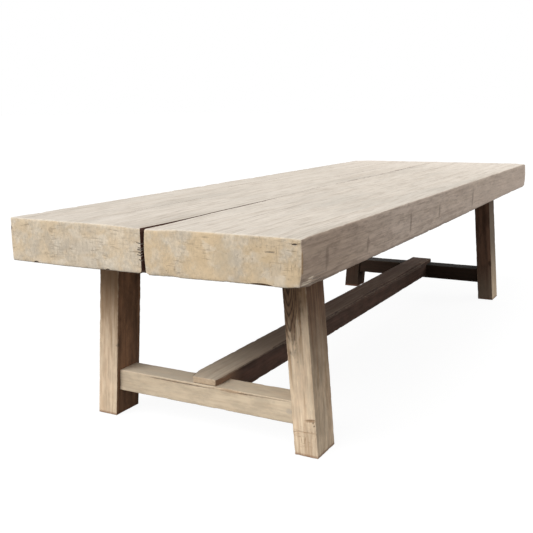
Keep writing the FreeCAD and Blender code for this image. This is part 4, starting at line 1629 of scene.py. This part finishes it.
# %% [markdown]
# ## The legs' finish
# Faces that look in under the table kept their dark skin, and faces that look out were bleached and scrubbed.
# All legs are brown towards the top, partly where the slabs sheltered them and partly as painted shade under
# the slabs, and the brown reaches further down on the inner edge; painted shade also darkens the outer side
# upwards. On the near right leg the flames of the grain show there. Its pith leans towards the outer
# face as it rises, so the rings come out as nested points that hang down.

# %% Dark skin and brown tops
LEG_FLUSH = (0.78, 0.575, 0.41, 1)
TOP_BROWN = (0.31, 0.174, 0.090, 1)
STREAK_SWAY = 0.30
STRAND_SWAY = 0.16
BROWN_SLANT = 1.5


def lay_skin(timber, mask, colour):
    """Covers faces with old dark skin, a little lighter and darker along the grain."""
    tree = timber.tree
    streaked = spread(tree, timber.grain["Streak"], 0.30, 0.70, 1.35, 0.65)
    blotched = spread(tree, timber.grain["Mottle"], 0.36, 0.64, 0.78, 1.25)
    varied = calc(tree, "MULTIPLY", streaked, blotched)
    tint(timber, 0.97, mask, mix(tree, 1.0, colour, varied, "MULTIPLY"))


def brown_and_shade_the_top(timber, middle_y, side, pale_to, brown_from):
    """Browns a leg upwards, partly as sheltered wood and partly as painted shade under the slabs, in streaks,
    and further down on its inner edge.
    """
    tree = timber.tree
    streaked = calc(tree, "MULTIPLY_ADD", timber.grain["Streak"], STREAK_SWAY, timber.place["Z"])
    stranded = calc(tree, "MULTIPLY_ADD", timber.grain["Strand"], STRAND_SWAY, streaked)
    from_middle = calc(tree, "SUBTRACT", timber.place["Y"], middle_y)
    inwards = calc(tree, "MULTIPLY", from_middle, -side * BROWN_SLANT)
    browned_and_shaded = spread(tree, calc(tree, "ADD", stranded, inwards), pale_to, brown_from)
    flushed = noise(tree, timber.object, (14, 14, 5), 3.0)
    tint(timber, 0.24, spread(tree, flushed, 0.48, 0.66), LEG_FLUSH)
    # Painted shade, in part: the brown towards the top also stands for the shade under the slabs.
    tint(timber, 0.85, browned_and_shaded, TOP_BROWN)


print("brown tops: slant", BROWN_SLANT)

# %% The near right leg's own marks
LEG_PALE = (0.90, 0.73, 0.53, 1)
LINE_RED = (0.48, 0.31, 0.185, 1)
SCRUBBED_AND_LIT = (1.07, 1.06, 1.05, 1)
TOP_DARK = (0.135, 0.080, 0.050, 1)
FLAME_BROWN = (0.055, 0.032, 0.020, 1)
MARK_BROWN = (0.33, 0.190, 0.100, 1)
FLAME_HEIGHT = 0.50
FLAME_SIZE = (0.06, 0.055, 0.185)


def near_leg_stains(timber, face_x, flame_y, lean):
    """Fine red lines, a lower outer face made lighter, partly as painted light, the flames high on the leg,
    and the brown of its torn and scratched spots.
    """
    tree = timber.tree
    outward = looks(timber, "X", -1)
    along_leg = (-lean, 0, 0)
    tint(timber, 0.40, spread(tree, timber.grain["Fibre"], 0.52, 0.68), LINE_RED)
    # Scrubbed paler and partly painted light: the outer face is lighter low down, below the slabs' shade.
    lower = spread(tree, timber.place["Z"], 0.18, 0.40, 1.0, 0.0)
    tint(timber, 1.0, both(timber, outward, lower), SCRUBBED_AND_LIT, "MULTIPLY")
    cloudy = noise(tree, timber.object, (26, 26, 15), 4.0, 0.6)
    tint(timber, 1.0, looks(timber, "Y", -1), spread(tree, cloudy, 0.36, 0.64, 0.88, 1.10), "MULTIPLY")
    flames = spot(timber, (face_x, flame_y, FLAME_HEIGHT), FLAME_SIZE, along_leg)
    tint(timber, 0.60, both(timber, flames, spread(tree, timber.grain["Strand"], 0.38, 0.58)), TOP_DARK)
    tint(timber, 0.85, both(timber, flames, timber.grain["Late wood"]), FLAME_BROWN)
    stain(timber, 0.50, LEG_PALE, (face_x, -0.385, 0.426), (0.02, 0.009, 0.05), along_leg)
    stain(timber, 0.65, MARK_BROWN, (face_x, -0.4265, 0.1275), (0.02, 0.024, 0.007), (-0.15, 0, 0))
    stain(timber, 0.45, MARK_BROWN, (face_x + 0.035, -0.474, 0.080), (0.042, 0.02, 0.004), (0, 0.325, 0))
    scratched = spot(timber, (face_x, -0.415, 0.072), (0.02, 0.070, 0.048))
    marks = use_group(tree, SAWN, {"Vector": timber.object})
    tint(timber, 0.80, both(timber, scratched, marks["Lines"]), MARK_BROWN)


print("flames: at a height of", FLAME_HEIGHT, "m")

# %% The far legs' feet
FOOT_GREY = (0.35, 0.270, 0.200, 1)
FOOT_SHARE = {"front_right_leg": 0.75, "back_right_leg": 0.03}


def grey_the_foot(timber, node, inward):
    """Greys the inward faces of a far leg towards the floor, ragged along the grain."""
    ragged = calc(timber.tree, "MULTIPLY_ADD", timber.grain["Streak"], STREAK_SWAY, timber.place["Z"])
    footward = spread(timber.tree, ragged, 0.14, 0.38, 1.0, 0.0)
    tint(timber, FOOT_SHARE[node], both(timber, footward, inward), FOOT_GREY)


print("grey feet:", FOOT_SHARE)

# %% Finish the legs
LEG_DEEP = (0.58, 0.408, 0.260, 1)
CALM_DEEP = (0.62, 0.445, 0.292, 1)
OLD_SKIN = (0.235, 0.125, 0.069, 1)
# Painted shade: the far legs' dark skin is darkened for the shade under the table, most on the back right
# leg.
FAR_SKIN_AND_SHADE = {"front_right_leg": (0.152, 0.081, 0.052, 1), "back_right_leg": (0.036, 0.016, 0.010, 1)}
FOOT_RED = (0.28, 0.130, 0.072, 1)
KNOT_BROWN = (0.13, 0.080, 0.050, 1)
PITH_RISE = 0.10
PITH_DEPTH = 0.012
FLAME_ASIDE = 0.023
# For the near end, -1, and the far end, 1: the outer side's painted shade brown, the height where it is full,
# the wear and the shine
SIDE_SHADE_BROWN = {-1: (0.138, 0.070, 0.038, 1), 1: (0.165, 0.127, 0.100, 1)}
SHADED_TO = {-1: 0.55, 1: 0.38}
LEG_RUBBED = {-1: 0.30, 1: 0.12}
BEAM_SHINE = {-1: SHINE, 1: 0.10}
# Heights where the brown begins and is full, for most legs and for one where it comes slowly
BROWN_RAMP = (0.53, 0.78)
SLOW_BROWN = {"back_left_leg": (0.38, 0.84)}
# Knots: share, colour, place with its x from the left face, and size
LEG_KNOTS = {
    "back_left_leg": (0.9, KNOT_BROWN, (0.0, 0.345, 0.274), (0.022, 0.016, 0.014)),
    "front_right_leg": (0.7, FLAME_BROWN, (-0.01, -0.448, 0.214), (0.025, 0.030, 0.035)),
}


def leg_finish(node, end, side):
    """Pale at the foot, brown at the top and on the outer side partly as painted shade, and dark on the two
    faces that look inwards, on the far legs partly as painted shade.
    """
    low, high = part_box(node)
    outer_x = low.x if end < 0 else high.x
    foot_y, breadth, lean = leg_lines(node, side)
    axis_y = foot_y - side * (breadth / 2 + FLAME_ASIDE)
    pith = (outer_x - end * PITH_DEPTH, axis_y + lean * high.z, high.z)
    turn = (0, math.atan(lean) - QUARTER_TURN, QUARTER_TURN)
    deep = CALM_DEEP if end < 0 else LEG_DEEP
    timber = open_timber(node, pith, turn, LEG_PALE, deep,
                         ring=0.0042, wander=0.03, figure=0.05, rise=-end * PITH_RISE)
    tree = timber.tree
    brown_and_shade_the_top(timber, (low.y + high.y) / 2, side, *SLOW_BROWN.get(node, BROWN_RAMP))
    # Painted shade: the outer side darkens upwards, under the slabs' overhang.
    shaded = spread(tree, timber.place["Z"], 0.0, SHADED_TO[end])
    tint(timber, 0.88, both(timber, looks(timber, "Y", side), shaded), SIDE_SHADE_BROWN[end])
    if node == "front_left_leg":
        near_leg_stains(timber, outer_x, axis_y + lean * FLAME_HEIGHT, lean)
    # Dark skin on the faces that look inwards; on the far legs it is partly painted shade.
    inward = either(timber, looks(timber, "X", -end), looks(timber, "Y", -side))
    lay_skin(timber, inward, FAR_SKIN_AND_SHADE.get(node, OLD_SKIN))
    if end > 0:
        grey_the_foot(timber, node, inward)
    tint(timber, 0.65, spread(tree, timber.place["Z"], 0.004, 0.014, 1.0, 0.0), FOOT_RED)
    if node in LEG_KNOTS:
        share, colour, (inset, y, z), size = LEG_KNOTS[node]
        stain(timber, share, colour, (low.x + inset, y, z), size)
    tint(timber, LEG_RUBBED[end], timber.worn, LEG_PALE)
    return close_timber(timber, least_rough=0.70, shine=BEAM_SHINE[end])


for node, (end, side) in LEG_SIDES.items():
    timbers[node].data.materials.append(leg_finish(node, end, side))
    print("finish:", node)

# %% [markdown]
# ## The rails' and stretcher's finish
# The near rail is scrubbed pale in front and greyer above, with painted light towards its right end. The far
# rail and the stretcher's sides have never seen the brush and are nearly black, partly as painted shade under
# the table. The stretcher's upper face is a worn brown grey, darkened inwards as painted shade under the
# table, which turns pale where it runs out over the near rail. The bearers, which nobody sees, are as brown
# as the legs' tops.

# %% Finish the rails and bearers
RAIL_PALE = (0.80, 0.655, 0.475, 1)
RAIL_DEEP = (0.68, 0.532, 0.372, 1)
RAIL_GREY = (0.66, 0.595, 0.495, 1)
WORN_AND_LIT = (1.20, 1.165, 1.10, 1)
KNOT_BLUE = (0.36, 0.34, 0.33, 1)
BLACK_SKIN_AND_SHADE = (0.027, 0.012, 0.008, 1)
SLATE_GREY_AND_SHADE = (0.085, 0.080, 0.080, 1)
CROSSWISE = (0, 0, QUARTER_TURN)
RAIL_PITH_IN = 0.02
RAIL_PITH_Y = 0.21
RAIL_PITH_HEIGHT = 0.02
RAIL_RUBBED = {-1: 0.25, 1: 0.06}


def scrub_near_rail(timber, face_x):
    """Greyer and worn light above, with painted light towards the right end above and in front, scrubbed pale
    in front, and brown along the split.
    """
    tree = timber.tree
    upward = looks(timber, "Z", 1)
    wash(timber, 0.55, upward, RAIL_GREY)
    # Painted light, in part: the upper face is made lighter towards the right end.
    lit_rightmost = spread(tree, timber.place["Y"], -0.30, 0.02, 1.0, 0.15)
    tint(timber, lit_rightmost, upward, WORN_AND_LIT, "MULTIPLY")
    # Painted light, in part: the front is lighter towards the right end and darker towards the left.
    scrubbed = spread(tree, timber.place["Y"], -0.35, 0.30, 1.07, 0.92)
    tint(timber, 1.0, looks(timber, "X", -1), scrubbed, "MULTIPLY")
    lay_skin(timber, looks(timber, "X", 1), OLD_SKIN)
    stain(timber, 0.32, KNOT_BLUE, (face_x, -0.3408, 0.1383), (0.012, 0.015, 0.013))
    stain(timber, 0.55, MARK_BROWN, (face_x, 0.10, 0.1690), (0.03, 0.16, 0.004))
    stain(timber, 0.55, MARK_BROWN, (face_x, -0.13, 0.1700), (0.03, 0.10, 0.006))


def rail_finish(node, end):
    """The near rail scrubbed, the far one dark with painted shade, and both dark below."""
    low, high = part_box(node)
    pith = ((low.x + high.x) / 2 - end * RAIL_PITH_IN, RAIL_PITH_Y, RAIL_PITH_HEIGHT)
    timber = open_timber(node, pith, CROSSWISE, RAIL_PALE, RAIL_DEEP, ring=0.010, wander=0.05, figure=0.05)
    # Painted shade: the far rail's upper and near faces are made nearly black for the shade under the table.
    if end > 0:
        lay_skin(timber, looks(timber, "Z", 1), SLATE_GREY_AND_SHADE)
        lay_skin(timber, looks(timber, "X", -1), BLACK_SKIN_AND_SHADE)
    else:
        scrub_near_rail(timber, low.x)
    lay_skin(timber, looks(timber, "Z", -1), OLD_SKIN)
    tint(timber, RAIL_RUBBED[end], timber.worn, LEG_PALE)
    return close_timber(timber, least_rough=0.70, shine=BEAM_SHINE[end])


def bearer_finish(node):
    """Brown all over."""
    low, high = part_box(node)
    pith = ((low.x + high.x) / 2, 0, low.z)
    timber = open_timber(node, pith, CROSSWISE, LEG_PALE, LEG_DEEP, ring=0.010, wander=0.05, figure=0.40)
    wash(timber, 0.85, 1.0, TOP_BROWN)
    return close_timber(timber, least_rough=0.70)


for node, end in (("left_rail", -1), ("right_rail", 1)):
    timbers[node].data.materials.append(rail_finish(node, end))
for node in ("left_bearer", "right_bearer"):
    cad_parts[node].data.materials.clear()
    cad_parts[node].data.materials.append(bearer_finish(node))
print("finish: rails and bearers")

# %% Finish the stretcher
SHELTERED_SHADE_GREY = (0.280, 0.200, 0.148, 1)
SHELTERED_SHADE_RED = (0.205, 0.132, 0.100, 1)
SHELTERED_SHADE_BROWN = (0.080, 0.040, 0.028, 1)
TONGUE_END = (0.62, 0.465, 0.315, 1)
TONGUE_RED = (0.30, 0.180, 0.110, 1)
STRETCHER_PITH = (0, 0.02, 0.08)


def stretcher_finish():
    """Nearly black at the sides and darker above inwards from the near tongue, both partly painted shade,
    brown grey above, and pale on the tongue at the near end.
    """
    timber = open_timber("stretcher", STRETCHER_PITH, NO_TURN, LEG_PALE, LEG_DEEP,
                         ring=0.010, wander=0.04, figure=0.45)
    tree = timber.tree
    along = timber.place["X"]
    upward = looks(timber, "Z", 1)
    back_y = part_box("stretcher")[1].y
    # Painted shade, in part: the upper face darkens from the near tongue inwards, under the table.
    past_tongue = spread(tree, along, -1.21, -0.60, 0.04, 1.0)
    sheltered = mix(tree, spread(tree, along, -0.70, 0.10), SHELTERED_SHADE_GREY, SHELTERED_SHADE_RED)
    wash(timber, 0.55, upward, RAIL_GREY)
    wash(timber, 1.0, both(timber, upward, past_tongue), sheltered)
    tint(timber, 0.25, both(timber, upward, past_tongue), sheltered)
    backmost = spread(tree, timber.place["Y"], back_y - 0.013, back_y - 0.003)
    tint(timber, 0.45, both(timber, past_tongue, backmost), SHELTERED_SHADE_BROWN)
    # Painted shade, in part: the sides are made nearly black under the table.
    sideward = either(timber, looks(timber, "Y", 1), looks(timber, "Y", -1))
    lay_skin(timber, sideward, SHELTERED_SHADE_BROWN)
    on_tongue = spread(tree, along, -1.16, -1.04, 1.0, 0.0)
    tint(timber, 0.80, both(timber, sideward, on_tongue), TONGUE_RED)
    lay_skin(timber, looks(timber, "Z", -1), OLD_SKIN)
    tint(timber, 0.70, either(timber, looks(timber, "X", 1), looks(timber, "X", -1)), TONGUE_END)
    tint(timber, 0.12, timber.worn, LEG_PALE)
    return close_timber(timber, least_rough=0.70)


timbers["stretcher"].data.materials.append(stretcher_finish())
print("finish: stretcher")

# %% [markdown]
# ## Pegs and screws
# The oak pegs show their end grain, with fine rings and dark pores. The coach screws, their washers and the
# lap screws are dull zinc, blotched by damp.

# %% Finish the fastenings
PEG_PALE = (0.46, 0.33, 0.215, 1)
PEG_DEEP = (0.20, 0.13, 0.08, 1)
ZINC = (0.46, 0.46, 0.47, 1)
ZINC_STAIN = (0.26, 0.22, 0.19, 1)
ZINC_BUMP = 0.0004
ZINC_STRENGTH = 0.2


def peg_finish(node):
    """Cleft oak, with its grain along the peg."""
    low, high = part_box(node)
    pith = (0, high.y, low.z)
    timber = open_timber(node, pith, NO_TURN, PEG_PALE, PEG_DEEP, ring=0.0022, wander=0.002, figure=0.60)
    pores = noise(timber.tree, timber.object, (60, 900, 900), 2.0)
    tint(timber, 0.6, spread(timber.tree, pores, 0.58, 0.68), PEG_DEEP)
    return close_timber(timber, least_rough=0.60)


def zinc_finish():
    """Dull zinc plate with damp stains, rougher where it is stained."""
    material = bpy.data.materials.new("dull_zinc")
    material.use_nodes = True
    tree = material.node_tree
    shader = tree.nodes["Principled BSDF"]
    place = tree.nodes.new("ShaderNodeTexCoord").outputs["Object"]
    stained = spread(tree, noise(tree, place, (160, 160, 160), 4.0, 0.65), 0.48, 0.66)
    brushed = noise(tree, place, (900, 900, 120), 2.0)
    tree.links.new(mix(tree, stained, ZINC, ZINC_STAIN), shader.inputs["Base Color"])
    tree.links.new(calc(tree, "SUBTRACT", 1.0, stained), shader.inputs["Metallic"])
    roughness = calc(tree, "MULTIPLY_ADD", stained, 0.3, calc(tree, "MULTIPLY_ADD", brushed, 0.2, 0.35))
    tree.links.new(roughness, shader.inputs["Roughness"])
    bump = tree.nodes.new("ShaderNodeBump")
    bump.inputs["Strength"].default_value = ZINC_STRENGTH
    bump.inputs["Distance"].default_value = ZINC_BUMP
    tree.links.new(brushed, bump.inputs["Height"])
    tree.links.new(bump.outputs[0], shader.inputs["Normal"])
    return material


zinc = zinc_finish()
for node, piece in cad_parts.items():
    if node.endswith("_pegs") or node.endswith("screws") or node.endswith("washers"):
        piece.data.materials.clear()
        piece.data.materials.append(peg_finish(node) if node.endswith("_pegs") else zinc)
print("finish: pegs, screws and washers")

# %% [markdown]
# ## Everything in its place
# Now each timber takes the place of its solid. The bearers, pegs, screws and washers keep their solids: they
# are seen from below, apart from the pegs, whose heads also show on the frames' right-hand faces.

# %% Ride and replace
for node, piece in timbers.items():
    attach(piece, "root")
    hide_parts(node)
print("in place:", len(timbers), "timbers")
